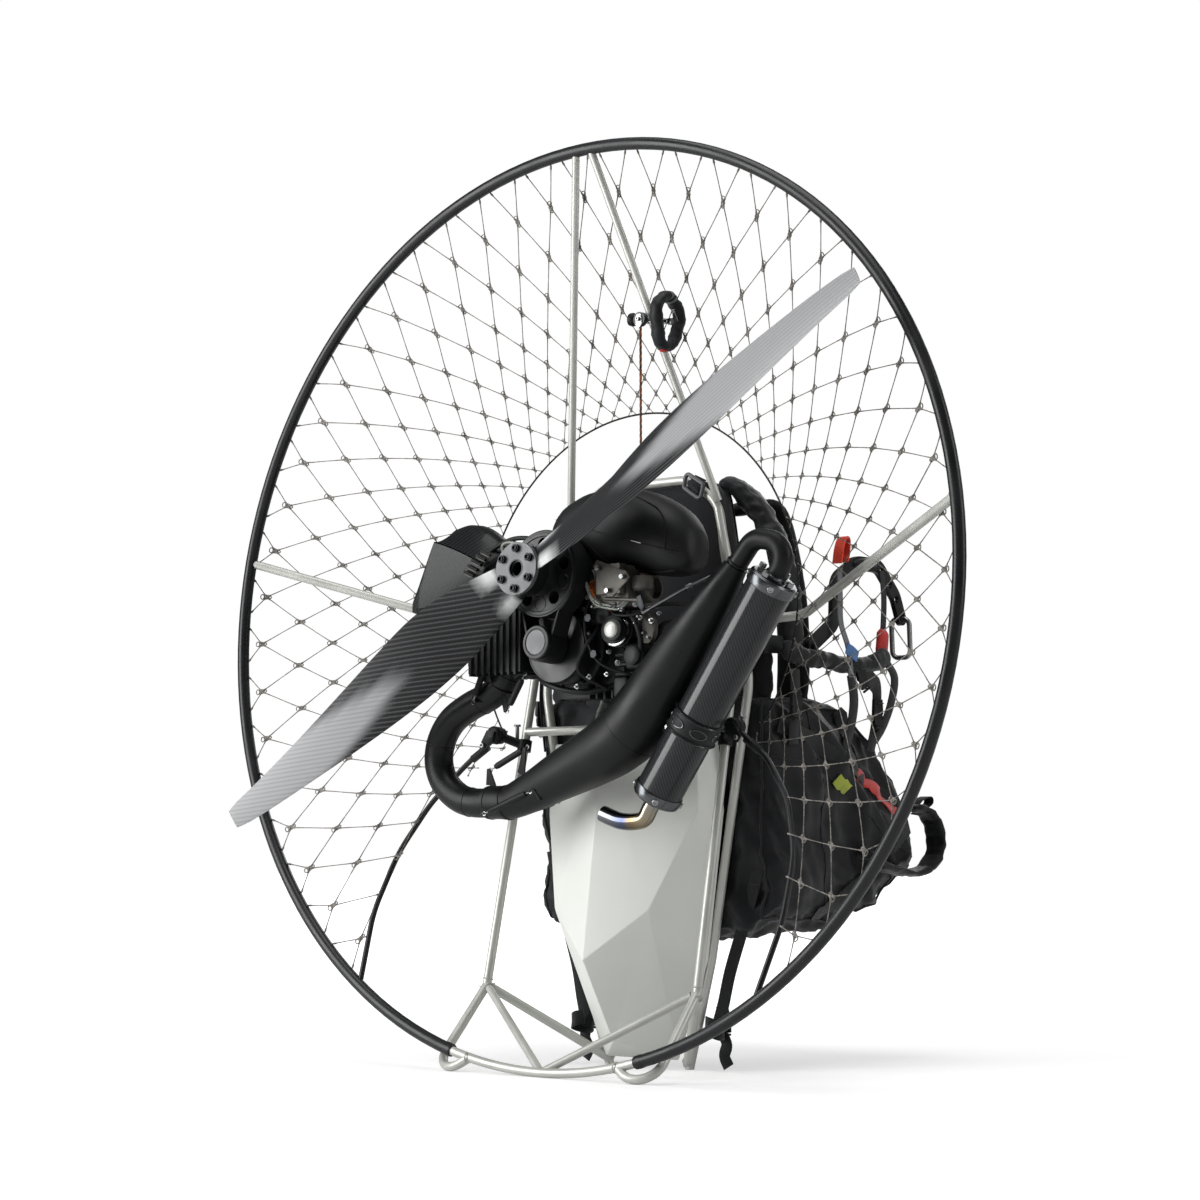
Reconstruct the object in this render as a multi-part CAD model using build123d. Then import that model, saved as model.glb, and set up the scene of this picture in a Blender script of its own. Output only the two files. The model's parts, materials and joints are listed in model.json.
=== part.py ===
"""Paramotor: a caged two-blade pusher engine pack with its harness, standing on its own base.

Millimetres. +X is the pilot's right, +Y is the pilot's forward side, where the harness hangs, and
+Z is up. The propeller is on the -Y side. The floor is z = 0, and the origin is the floor point
under the middle of the whole pack's box.
"""
from build123d import *
from math import atan, cos, degrees, pi, radians, sin, sqrt
import os

# ---- Driving dimensions ------------------------------------------------------------------------
STATION_Y = -247.321        # where the cage hoop's centre stands, fore and aft of the origin

HOOP_R = 700.0            # cage hoop, to the middle of its tube
HOOP_TILT = 3.865         # the hoop's top leans forward by this many degrees
HOOP_TUBE = 19.0          # black outer tube
FRAME_TUBE = 14.0         # silver tube of the frame, spars and base
BRACE_TUBE = 12.0         # thinner silver tube of the base braces
ROD = 8.5                 # curved black rods that hold the lower cage
SLEEVE_ANGLE = 165.2      # where the silver base arc slides into the black hoop, from the top
SPIGOT_ANGLE = 4.0        # how far it slides in
FIT = 0.3                 # gap between pieces that touch but are not joined

TOP_SPAR_ANGLE = 1.15     # where the two top spars meet the hoop, each side of the top
SIDE_SPAR_ANGLE = 81.6
ROD_ANGLE = 146.8

PROP_R = 693.0
PROP_UP = 32.0            # propeller axis above the hoop's centre, in the hoop's own plane
PROP_TURN = 57.8          # where one blade rests, from straight up towards the pilot's right
BLADE_BACK = 88.0         # blade root's middle plane, behind the hoop's plane
BLADE_RAKE = 11.0         # how much further back the tips are
BLADE_PITCH = 850.0       # advance in one turn, which sets the twist
ROOT_THICK = 26.0
PLATE_RIM = 9.5           # from the bolt circle to the plate's edge
PLATE_THICK = 7.0
PLATE_HOLE_R = 13.5
BOLT_CIRCLE_R = 30.0
PLATE_R = BOLT_CIRCLE_R + PLATE_RIM
BOLT_HOLE_R = 4.2
BOLT_HEAD_R = 6.2
BOLT_HEAD_H = 5.0

BELT_WIDTH = 33.0
BELT_THICK = 4.0
BIG_PULLEY_R = 62.6       # under the belt
SMALL_PULLEY_R = 23.6
PULLEY_LIP = 2.0          # how far the pulleys' rims stand above the belt
PULLEY_FRONT = 50.0       # rear faces of both pulleys, behind the hoop's plane
PULLEY_BACK = 15.0
PULLEY_SPACING = BIG_PULLEY_R + SMALL_PULLEY_R + 16.8    # between the two shafts
BELT_ROOM = 8.0           # kept free round the belt on the big pulley
BELL_R = 55.0
BELL_REAR = 9.5
BELL_DEPTH = 30.0
CASE_DEEP = 122.0         # forward end of the crankcase, ahead of the hoop's plane
AXLE_R = 13.45            # fixed axle that the propeller hub turns on
CRANK_R = 10.0
RUN = 0.05                # running clearance of a shaft in its bore

# Heights from here on are for a hoop whose centre stands CENTRE_AT above the floor. high() lifts
# them with a larger hoop, and only what lies on the floor stays down.
CENTRE_AT = 705.408
LOWER_NODE = (206.0, 61.0, 124.0)      # where base, rail, brace and rear tube meet
FOOT_OUT = 70.9                        # the foot loop's knee, outside and behind its end on the hoop
FOOT_BEHIND = 21.8
FOOT_DROP = 20.5                       # and its corner below the floor, before it is rounded
FOOT_BEND_R = 36.0
FOOT_END_ANGLE = 168.2                 # where the foot loop joins the base arc
CROSS_Z = 517.0
FRONT_Y = 196.0
REAR_KNEE = (197.0, FRONT_Y - 18.0, 672.0)
FOOT_AHEAD = 10.0                      # the front tubes' feet, ahead of their bowed part
FRONT_FOOT_X = 74.0
FRONT_LOW = (129.0, 166.0)             # bends of the front tubes, x and z
FRONT_WIDE = (203.0, 588.0)
FRONT_NECK = (157.0, 780.0)
SHOULDER = (146.0, 862.0)
HARNESS_REAR = FRONT_Y + FRAME_TUBE / 2 + FIT
TOP_BAR = (82.0, 900.0)
SHOULDER_CUT = 846.0                   # height where the top bar plugs into the side tubes
SPAR_KNEE = (297.0, FRONT_Y + 9.0, 680.0)
ROD_CLAMP = (236.0, 117.0, 512.0)
SHROUD_TOP = 708.0        # top of the cylinder's ribs, where the hood sits
SCOOP_WALL = 3.0
INTAKE_Z = 688.0          # top of the crankcase's flank, under the carburettor
MOUNT_Z = 655.0           # height of the upper engine mount

EXHAUST_Y = 20.0          # the whole exhaust lies in one upright plane
PIPE = 45.0
RETURN_PIPE = 30.0
TAIL_PIPE = 25.0
CHAMBER_WIDE_R = 49.0
CHAMBER_END_R = 15.5
SILENCER_R = 35.0
SILENCER_CAP_R = SILENCER_R + 2.0
SILENCER_CAP_H = 18.0

ARM_X = 235.0             # the swing arms' middle planes, each side
ARM_THICK = 8.0
ARM_WIDTH = 22.0
ARM_PIVOT = (HARNESS_REAR + 106.7, 643.0)             # y and z
RAIL_THICK = 9.0
PIVOT_R = 5.0
HANG_HOLE_R = 6.5
CLIP_WIRE = 8.0

SEAT_HALF = 235.0
SEAT_TOP = 545.0
BACK_THICK = 68.0
STRAP = 30.0
LEG_STRAP = 24.0

BASE = (Align.CENTER, Align.CENTER, Align.MIN)
TOP = (Align.CENTER, Align.CENTER, Align.MAX)

# ---- Directions of the hoop's plane ------------------------------------------------------------
RIGHT = Vector(1, 0, 0)
UP = Vector(0, sin(radians(HOOP_TILT)), cos(radians(HOOP_TILT)))
BACK = Vector(0, -cos(radians(HOOP_TILT)), sin(radians(HOOP_TILT)))
HOOP_CENTRE = Vector(0, 0, FRAME_TUBE / 2 + HOOP_R * cos(radians(HOOP_TILT)))
PROP_CENTRE = HOOP_CENTRE + UP * PROP_UP
CRANK_CENTRE = PROP_CENTRE - UP * PULLEY_SPACING
LIFT = HOOP_CENTRE.Z - CENTRE_AT


def on_hoop(angle, radius=HOOP_R):
    """Point in the hoop's plane, at an angle from the top towards the pilot's right."""
    return HOOP_CENTRE + RIGHT * (radius * sin(radians(angle))) + UP * (radius * cos(radians(angle)))


def axial_plane(centre, back=0.0):
    """Plane square to the propeller's axis, its normal pointing back."""
    return Plane(origin=centre + BACK * back, x_dir=RIGHT, z_dir=BACK)


def disc(centre, back_from, back_to, radius):
    """Round solid on an axis through centre, between two stations behind the hoop's plane."""
    height = back_to - back_from
    solid = Cylinder(radius, height, align=BASE)
    return axial_plane(centre, back_from) * solid


def high(x, y, z):
    """Point of the frame, engine or harness, whose height rises with the hoop's centre."""
    return Vector(x, y, z + LIFT)


def points(*triples):
    return [high(*triple) for triple in triples]


def tube(route, diameter, radii=None):
    """Round bar along straight runs and bends."""
    path = FilletPolyline(*route, radius=radii) if radii else Line(*route)
    return sweep(Plane(origin=path @ 0, z_dir=path % 0) * Circle(diameter / 2), path=path)


def hoop_tube(from_angle, to_angle, diameter, radius=HOOP_R):
    """Round bar bent along the hoop, between two angles from the top."""
    middle = on_hoop((from_angle + to_angle) / 2, radius)
    path = ThreePointArc(on_hoop(from_angle, radius), middle, on_hoop(to_angle, radius))
    return sweep(Plane(origin=path @ 0, z_dir=path % 0) * Circle(diameter / 2), path=path)


def cope(shape, *others):
    """Cut the end of a tube to the tubes that it meets, and keep the tube itself."""
    for other in others:
        shape = shape - other
    return max(shape.solids(), key=lambda solid: solid.volume)


def left(shape):
    """The pilot's left twin of a piece on the right."""
    return mirror(shape, about=Plane.YZ)


def outline(plane, corners):
    return plane * make_face(Polyline(*corners, close=True))


# ---- Cage --------------------------------------------------------------------------------------
def solid_hoop_half():
    return hoop_tube(0, SLEEVE_ANGLE, HOOP_TUBE)


def hoop_half():
    """Black tube from the top to the base arc, its lower end hollow for the arc's spigot."""
    bore = hoop_tube(SLEEVE_ANGLE - SPIGOT_ANGLE - 0.3, SLEEVE_ANGLE + 1, FRAME_TUBE + 2 * FIT)
    return solid_hoop_half() - bore


def base_arc():
    """Silver arc that closes the hoop at the floor."""
    end = SLEEVE_ANGLE - SPIGOT_ANGLE
    return hoop_tube(end, 360 - end, FRAME_TUBE)


def foot_loop():
    """Silver loop that reaches back from the lower node, along the floor and in to the arc."""
    end = on_hoop(FOOT_END_ANGLE)
    knee = Vector(end.X + FOOT_OUT, end.Y - FOOT_BEHIND, -FOOT_DROP)
    route = [high(*LOWER_NODE), knee, end]
    return tube(route, FRAME_TUBE, [FOOT_BEND_R])


def base_brace():
    """Brace from the lower node to the bottom of the arc, cut where it meets its twin."""
    brace = tube([high(*LOWER_NODE), on_hoop(180)], BRACE_TUBE)
    return brace - Box(200, 400, 400, align=(Align.MAX, Align.CENTER, Align.CENTER))


def top_spar_ends():
    x, z = SHOULDER
    return on_hoop(TOP_SPAR_ANGLE), high(x + 2, FRONT_Y - 4, z)


def top_spar():
    return tube(top_spar_ends(), BRACE_TUBE)


def side_spar():
    route = [on_hoop(SIDE_SPAR_ANGLE), *points(SPAR_KNEE, REAR_KNEE)]
    return tube(route, FRAME_TUBE, [45])


def cage_rod():
    """Black rod, sprung outwards, from the clamp on the frame to the lower hoop."""
    start = high(*ROD_CLAMP)
    route = points((298, 110, 466), (352, 86, 405), (389, 51, 327), (400, 7, 234))
    return tube([start, *route, on_hoop(ROD_ANGLE)], ROD, [120, 150, 190, 220])


def rod_clamp(frame_tube):
    """Knurled clamp knob that holds a rod's inner end off the rear tube."""
    centre = high(*ROD_CLAMP)
    seat_z = CROSS_Z - 22
    on_tube = high(rear_x_at(seat_z), rear_y_at(seat_z), seat_z)
    knob = Plane(origin=centre, z_dir=(0, -1, 0.1)) * Cylinder(13, 16)
    lug = tube([centre, on_tube], 14)
    ring = Plane(origin=on_tube, z_dir=(0, 0.2, 1)) * Cylinder(11, 18)
    return cope(knob + lug + ring, frame_tube)


# ---- Frame -------------------------------------------------------------------------------------
def rear_tube():
    x, z = SHOULDER
    return tube(points(LOWER_NODE, REAR_KNEE, (x, FRONT_Y - 2, z - 10)), FRAME_TUBE, [90])


def bottom_rail():
    foot = Vector(FRONT_FOOT_X, FRONT_Y + FOOT_AHEAD, FRAME_TUBE / 2)
    return tube([high(*LOWER_NODE), foot], FRAME_TUBE)


def front_loop():
    """Bowed loop of tube on the pilot's side, from foot to foot over the shoulders."""
    side = [Vector(FRONT_FOOT_X, FRONT_Y + FOOT_AHEAD, -15)]
    side += [high(x, FRONT_Y, z) for x, z in (FRONT_LOW, FRONT_WIDE, FRONT_NECK, SHOULDER, TOP_BAR)]
    route = side + [Vector(-corner.X, corner.Y, corner.Z) for corner in reversed(side)]
    bends = [60, 120, 90, 60, 40]
    return tube(route, FRAME_TUBE, bends + [40] + bends[-2::-1])


def front_frame_pieces():
    """The loop in three: the right side, the left side and the bar over the top."""
    loop = front_loop()
    cut = Pos(high(0, FRONT_Y, SHOULDER_CUT))
    upper = loop & (cut * Box(1000, 200, 1000, align=BASE))
    lower = loop & (cut * Box(1000, 200, SHOULDER_CUT + LIFT, align=TOP))
    right = max(lower.solids(), key=lambda solid: solid.center().X)
    return right, left(right), upper


def cross_tube():
    """Level tube between the rear tubes, under the engine."""
    reach = rear_x_at(CROSS_Z)
    y = rear_y_at(CROSS_Z)
    return tube(points((-reach, y, CROSS_Z), (reach, y, CROSS_Z)), FRAME_TUBE)


def rear_share(z):
    return (z - LOWER_NODE[2]) / (REAR_KNEE[2] - LOWER_NODE[2])


def rear_x_at(z):
    return LOWER_NODE[0] + (REAR_KNEE[0] - LOWER_NODE[0]) * rear_share(z)


def rear_y_at(z):
    return LOWER_NODE[1] + (REAR_KNEE[1] - LOWER_NODE[1]) * rear_share(z)


# ---- Fuel tank ---------------------------------------------------------------------------------
def fuel_tank():
    """Faceted wedge between the frame tubes, its nose low at the back."""
    face_y = FRONT_Y - FRAME_TUBE / 2 - FIT
    top_z = CROSS_Z - FRAME_TUBE / 2 - 14
    nose = (0, 46, 167)
    crown = (0, 92, top_z)
    keel = (0, 118, 43)
    half = {"cheek": (92, 89, 242), "hip": (148, 140, 391), "brow": (140, 146, top_z),
            "heel": (72, face_y, 14), "shin": (FRONT_LOW[0], face_y, FRONT_LOW[1]),
            "thigh": (160, face_y, 391), "ear": (150, face_y, top_z)}
    other = {name: (-x, y, z) for name, (x, y, z) in half.items()}

    faces = []
    for side in (half, other):
        cheek, hip, brow, heel, shin, thigh, ear = (side[name] for name in half)
        faces += [(crown, nose, cheek), (crown, cheek, hip), (crown, hip, brow),
                  (nose, keel, cheek), (keel, heel, cheek), (cheek, heel, shin),
                  (cheek, shin, hip), (hip, shin, thigh), (hip, thigh, ear), (hip, ear, brow)]
    faces.append((keel, half["heel"], other["heel"]))
    faces.append((crown, half["brow"], half["ear"], other["ear"], other["brow"]))
    rim = [half[name] for name in ("heel", "shin", "thigh", "ear")]
    rim += [other[name] for name in ("ear", "thigh", "shin", "heel")]
    faces.append(tuple(rim))
    skins = [Face(Wire.make_polygon(points(*face))) for face in faces]
    return Solid(Shell(skins))


# ---- Engine ------------------------------------------------------------------------------------
def crankcase():
    """Plain block of the crankcase, with the stub of the crankshaft that the bell turns on."""
    body = disc(CRANK_CENTRE, -CASE_DEEP, BELL_REAR - BELL_DEPTH - 6, 62)
    flank = Pos(high(60, 74, INTAKE_Z)) * Box(60, 76, 96, align=TOP)
    sump = Pos(high(10, 78, 580)) * Box(120, 70, 40)
    stub = disc(CRANK_CENTRE, -40, PULLEY_FRONT - 8, CRANK_R)
    return body + flank + sump + stub


def cylinder():
    """Barrel and ribbed shroud, lying out to the pilot's left."""
    middle = SHROUD_TOP - 56
    shroud = Pos(high(-122, 36, middle)) * Box(106, 108, 104)
    ribs = [Pos(high(-168 + 13 * i, 36, middle)) * Box(4, 116, 112) for i in range(8)]
    head = Pos(high(-181, 36, 655)) * Box(12, 84, 84)
    return cope(shroud + head + ribs, pulley_room())


def cooling_scoop():
    """Carbon hood over the cylinder, a thin shell open on the pilot's side."""
    plane = Plane(origin=high(0, -38, 0), x_dir=(1, 0, 0), z_dir=(0, -1, 0))
    low = SHROUD_TOP
    corners = [(-276, low + 20), (-286, 772), (-256, 818), (-212, 840), (-168, 826), (-122, 782),
               (-122, low), (-232, low)]
    hood = outline(plane, corners)
    room = offset(hood, -SCOOP_WALL)
    return extrude(hood, -128) - Pos(0, SCOOP_WALL, 0) * extrude(room, -128)


def pulley_room():
    """Round space that stays free round the big pulley and its belt."""
    return disc(PROP_CENTRE, -44, 100, BIG_PULLEY_R + BELT_THICK + BELT_ROOM)


def airbox():
    """Smooth moulded shell over the engine, cut away round the big pulley."""
    shell = fillet(Box(268, 104, 140).edges(), 51)
    return Pos(high(88, 40, 800)) * shell - pulley_room()


def carburettor():
    body = Pos(high(107, 21, INTAKE_Z)) * Box(64, 70, 60, align=BASE)
    flange = Pos(high(112, -21, INTAKE_Z + 18)) * Box(44, 14, 44, align=BASE)
    return cope(body + flange, airbox(), pulley_room())


def reduction_carrier(engine):
    """Arm on the crankcase whose fixed axle carries the propeller hub and its pulley."""
    inner = BELL_REAR - BELL_DEPTH - 6
    boss = disc(PROP_CENTRE, inner - 14, PULLEY_BACK - 6, 27)
    arm_plane = axial_plane(PROP_CENTRE, inner - 14)
    arm = extrude(outline(arm_plane, [(-27, 0), (27, 0), (44, -92), (-44, -92)]), 14)
    axle = disc(PROP_CENTRE, inner, BLADE_BACK - ROOT_THICK / 2 - 6, AXLE_R)
    return cope(boss + arm + axle, engine)


def engine_mounts(engine, *frame_tubes):
    """Three stays with rubber isolators, from the crankcase to the frame tubes."""
    z = MOUNT_Z
    corners = [(58, 606), (58, 688), (100, 676), (126, z), (104, 632)]
    plate = extrude(outline(Plane(origin=high(0, -8, 0), z_dir=(0, -1, 0)), corners), 8)
    isolator = Pos(high(104, 16, z)) * (Rot(90, 0, 0) * Cylinder(21, 32))
    right_arm = tube(points((106, 30, z), (rear_x_at(z), rear_y_at(z), z)), 16)
    lug = Pos(high(64, 22, 640)) * Box(16, 44, 60)
    left_arm = tube(points((-40, 94, 640), (-rear_x_at(640), rear_y_at(640), 640)), 16)
    strut = tube(points((0, 96, 572), (0, rear_y_at(CROSS_Z), CROSS_Z)), 18)
    pieces = [plate + isolator + right_arm + lug, left_arm, strut]
    return Compound([cope(piece, engine, *frame_tubes) for piece in pieces])


def starter_housing(engine):
    return cope(disc(CRANK_CENTRE, -CASE_DEEP - 28, -CASE_DEEP, 58), engine)


# ---- Belt drive --------------------------------------------------------------------------------
def belt_loop(offset):
    """Filled outline of the belt at an offset outside the pulleys, square to the axis."""
    big = BIG_PULLEY_R + offset
    small = SMALL_PULLEY_R + offset
    lean = (big - small) / PULLEY_SPACING
    side = sqrt(1 - lean * lean)
    corners = [(big * side, -big * -lean), (small * side, -PULLEY_SPACING + small * lean)]
    body = make_face(Polyline(corners[0], corners[1], (-corners[1][0], corners[1][1]),
                              (-corners[0][0], corners[0][1]), close=True))
    return Circle(big) + Pos(0, -PULLEY_SPACING) * Circle(small) + body


def drive_belt():
    middle = (PULLEY_FRONT + PULLEY_BACK) / 2
    plane = axial_plane(PROP_CENTRE, middle - BELT_WIDTH / 2)
    ring = belt_loop(BELT_THICK + FIT) - belt_loop(FIT)
    return extrude(plane * ring, BELT_WIDTH)


def grooved_pulley(centre, radius):
    """Pulley with a low rim at each side of the belt."""
    lip = radius + PULLEY_LIP
    rim = (PULLEY_FRONT - PULLEY_BACK - BELT_WIDTH) / 2 - 0.2
    shape = disc(centre, PULLEY_BACK, PULLEY_FRONT, radius)
    shape += disc(centre, PULLEY_BACK, PULLEY_BACK + rim, lip)
    return shape + disc(centre, PULLEY_FRONT - rim, PULLEY_FRONT, lip)


def prop_pulley():
    """Large pulley with its hub, which carries the propeller."""
    root_front = BLADE_BACK - ROOT_THICK / 2
    shape = grooved_pulley(PROP_CENTRE, BIG_PULLEY_R)
    shape += disc(PROP_CENTRE, PULLEY_FRONT, root_front, BOLT_CIRCLE_R + 3)
    for i in range(5):
        turn = Rot(0, 0, 72 * i)
        hole = axial_plane(PROP_CENTRE, 0) * (turn * (Pos(0, 45, 0) * Cylinder(10, 200)))
        shape -= hole
    return shape - disc(PROP_CENTRE, -200, 200, AXLE_R + RUN)


def clutch_bell():
    """Clutch bell and the small pulley in one, with its round cap."""
    shape = grooved_pulley(CRANK_CENTRE, SMALL_PULLEY_R)
    shape += disc(CRANK_CENTRE, BELL_REAR - BELL_DEPTH, BELL_REAR, BELL_R)
    shape -= disc(CRANK_CENTRE, BELL_REAR - BELL_DEPTH - 1, BELL_REAR - 4, BELL_R - 4)
    shape += disc(CRANK_CENTRE, BELL_REAR - BELL_DEPTH + 4, PULLEY_BACK, 20)
    shape += disc(CRANK_CENTRE, PULLEY_FRONT, PULLEY_FRONT + 3, 24.5)
    return shape - disc(CRANK_CENTRE, -200, PULLEY_FRONT - 7.5, CRANK_R + RUN)


# ---- Propeller ---------------------------------------------------------------------------------
BLADE_STATIONS = [           # radius, chord, thickest, and how far the chord's middle trails
    (34, 56, 24, 0), (80, 66, 21, 2), (130, 84, 16, 4), (200, 101, 12, 4), (290, 100, 9.5, 1),
    (400, 86, 7.5, -1), (520, 66, 5.5, -1), (620, 49, 4.2, 1), (PROP_R, 36, 3.0, 5)]


def blade_section(radius, chord, thick, trail):
    """One section across the blade: a flat-bottomed curve turned to the pitch at that radius."""
    turn = degrees(atan(BLADE_PITCH / (2 * pi * max(radius, 150))))
    rake = BLADE_RAKE * radius / PROP_R
    half = chord / 2
    crown = Spline((-half, 0), (-half * 0.4, thick * 0.62), (half * 0.4, thick * 0.42), (half, 0))
    belly = Spline((half, 0), (half * 0.2, -thick * 0.36), (-half * 0.6, -thick * 0.34), (-half, 0))
    face = make_face(crown + belly)
    plane = Plane(origin=(trail, radius, rake), x_dir=(1, 0, 0), z_dir=(0, 1, 0))
    return plane * (Rot(0, 0, -turn) * face)


def blade():
    return loft([blade_section(*station) for station in BLADE_STATIONS])


def propeller_blades():
    """Both blades and the hub between them, turned to where they rest."""
    wing = blade()
    hub = Cylinder(PLATE_R - 1.5, ROOT_THICK)
    shape = Rot(0, 0, -PROP_TURN) * (hub + wing + Rot(0, 0, 180) * wing)
    shape -= Cylinder(PLATE_HOLE_R, 200)
    shape -= Pos(0, 0, ROOT_THICK / 2) * Cylinder(PLATE_R + 1, 40, align=BASE)
    shape -= Pos(0, 0, -ROOT_THICK / 2) * Cylinder(PLATE_R + 1, 40, align=TOP)
    shape -= bolt_places(Cylinder(BOLT_HOLE_R, 200))
    return axial_plane(PROP_CENTRE, BLADE_BACK) * shape


def bolt_places(shape):
    return [Rot(0, 0, 60 * i) * (Pos(0, BOLT_CIRCLE_R, 0) * shape) for i in range(6)]


def hub_plate():
    """Round pressure plate that clamps the blades."""
    plane = axial_plane(PROP_CENTRE, BLADE_BACK + ROOT_THICK / 2)
    plate = Cylinder(PLATE_R, PLATE_THICK, align=BASE) - Cylinder(PLATE_HOLE_R, 100)
    plate -= bolt_places(Cylinder(BOLT_HOLE_R, 100))
    return plane * plate


def prop_bolts():
    """Six socket screws that go through the plate and the blades into the hub."""
    grip = ROOT_THICK + PLATE_THICK - 1
    shank = Pos(0, 0, PLATE_THICK - grip) * Cylinder(BOLT_HOLE_R - RUN, grip, align=BASE)
    head = Pos(0, 0, PLATE_THICK) * Cylinder(BOLT_HEAD_R, BOLT_HEAD_H, align=BASE)
    socket = Pos(0, 0, PLATE_THICK + 2) * extrude(RegularPolygon(3.4, 6), 10)
    plane = axial_plane(PROP_CENTRE, BLADE_BACK + ROOT_THICK / 2)
    return plane * Compound(bolt_places(shank + head - socket))


# ---- Exhaust -----------------------------------------------------------------------------------
SLIP_START = high(-165, EXHAUST_Y, 404)
SLIP_END = high(-118, EXHAUST_Y, 404)
CHAMBER_KNEE = high(115, EXHAUST_Y, 507)
CHAMBER_END = high(317, EXHAUST_Y, 744)
SILENCER_TOP = high(381, EXHAUST_Y, 717)
SILENCER_FOOT = high(161, EXHAUST_Y, 405)


def cone_between(start, end, start_r, end_r):
    length = (end - start).length
    shape = Cone(start_r, end_r, length, align=BASE)
    return Plane(origin=start, z_dir=end - start) * shape


def exhaust_elbow():
    """Header from the cylinder and its bend back under the engine, with the port flange."""
    y = EXHAUST_Y
    route = points((-118, y, 612), (-152, y, 556), (-273, y, 552), (-273, y, 404))
    pipe = tube(route + [SLIP_START - RIGHT * FIT], PIPE, [42, 76, 70])
    flange = Plane(origin=high(-118, y, 612), z_dir=(0.52, 0, 0.85)) * Cylinder(29, 16)
    return pipe + flange


def exhaust_chamber():
    """Expansion chamber: two cones on a knee, and the thin pipe that turns down to the silencer."""
    slip_r = PIPE / 2 + 3
    shape = tube([SLIP_START, SLIP_END], 2 * slip_r) + Pos(SLIP_END) * Sphere(slip_r)
    shape += cone_between(SLIP_END, CHAMBER_KNEE, slip_r, CHAMBER_WIDE_R)
    shape += Pos(CHAMBER_KNEE) * Sphere(CHAMBER_WIDE_R)
    shape += cone_between(CHAMBER_KNEE, CHAMBER_END, CHAMBER_WIDE_R, CHAMBER_END_R)
    along = (SILENCER_TOP - SILENCER_FOOT).normalized()
    lead = (CHAMBER_END - CHAMBER_KNEE).normalized()
    start = CHAMBER_END - lead * 4
    route = [start, CHAMBER_END + lead * 42, SILENCER_TOP + along * 56, SILENCER_TOP + along * FIT]
    return shape + tube(route, RETURN_PIPE, [24, 24])


def silencer_axis_disc(shift, length, radius):
    """Round solid on the silencer's axis, measured down from its top face."""
    down = (SILENCER_FOOT - SILENCER_TOP).normalized()
    shape = Cylinder(radius, length, align=BASE)
    return Plane(origin=SILENCER_TOP + down * shift, z_dir=down) * shape


SILENCER_LENGTH = (SILENCER_TOP - SILENCER_FOOT).length


def silencer_body():
    return silencer_axis_disc(SILENCER_CAP_H, SILENCER_LENGTH - 2 * SILENCER_CAP_H, SILENCER_R)


def silencer_caps():
    """Turned caps on both ends of the silencer."""
    top = silencer_axis_disc(0, SILENCER_CAP_H, SILENCER_CAP_R)
    foot = silencer_axis_disc(SILENCER_LENGTH - SILENCER_CAP_H, SILENCER_CAP_H, SILENCER_CAP_R)
    return Compound([top, foot])


def silencer_clamp(chamber):
    """Band round the silencer with the stay that holds it to the chamber."""
    band = silencer_axis_disc(238, 28, SILENCER_CAP_R + 1) - silencer_axis_disc(230, 50, SILENCER_R)
    middle = SILENCER_TOP + (SILENCER_FOOT - SILENCER_TOP).normalized() * 252
    stay = tube([middle, CHAMBER_KNEE], 12) - silencer_axis_disc(200, 120, SILENCER_R + 1)
    return cope(band + stay, chamber)


def tail_pipe():
    """Bent outlet pipe under the silencer."""
    down = (SILENCER_FOOT - SILENCER_TOP).normalized()
    y = EXHAUST_Y
    route = [SILENCER_FOOT, SILENCER_FOOT + down * 44, high(66, y, 383)]
    return tube(route, TAIL_PIPE, [26])


def exhaust_hanger(chamber, engine):
    """Stay from the crankcase to the chamber's knee."""
    stay = tube([CHAMBER_KNEE, high(60, 70, 590)], 16)
    return cope(stay, chamber, engine)


# ---- Starter -----------------------------------------------------------------------------------
PIN = 9.0
GUIDE_Z = 1134.0          # height on the top spar where the guide is clipped
HANDLE_ROPE = 18.0


def by_spar(x, y, z):
    """Point near the top spar, measured from the spar's middle at the guide's height."""
    top, low = top_spar_ends()
    share = (GUIDE_Z + LIFT - top.Z) / (low.Z - top.Z)
    return top + (low - top) * share + Vector(x, y, z)


PIN_START = by_spar(-22.7, -15.3, 6)
PIN_END = by_spar(41.3, -7.3, -4)
GUIDE_WHEEL = by_spar(-8.7, -23.3, 6)


def starter_guide(spar):
    """Chrome pin beside the spar, with the pulley that leads the starter cord down."""
    pin = tube([PIN_START, PIN_END], PIN)
    clip = tube([by_spar(3.3, -15.3, 0), by_spar(3.3, 4.7, 0)], 16)
    wheel = Pos(GUIDE_WHEEL) * (Rot(90, 0, 0) * Cylinder(11, 8))
    return cope(pin + clip + wheel, spar)


def starter_cord(guide, housing):
    """Taut cord from the guide down to the starter's drum."""
    drum = CRANK_CENTRE + Vector(40, 142.8, 33.4)
    return cope(tube([GUIDE_WHEEL, drum], 4), guide, housing)


def starter_handle():
    """Padded loop handle, hung on the guide's pin."""
    along = (PIN_END - PIN_START).normalized()
    inner = 27.0
    hang = PIN_START + (PIN_END - PIN_START) * 0.9 + Vector(0, 0, PIN / 2 + FIT - inner)
    loop = Ellipse(20, inner + HANDLE_ROPE / 2)
    path = (Plane(origin=hang, x_dir=(0, 1, 0), z_dir=along) * loop).wire()
    return sweep(Plane(origin=path @ 0, z_dir=path % 0) * Circle(HANDLE_ROPE / 2), path=path)


# ---- Harness -----------------------------------------------------------------------------------
def backrest():
    """Padded back panel, leaning on the front tubes."""
    panel = Box(300, BACK_THICK, 356 - FIT, align=(Align.CENTER, Align.MIN, Align.MIN))
    return Pos(high(0, HARNESS_REAR, SEAT_TOP + FIT)) * fillet(panel.edges(), 28)


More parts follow.
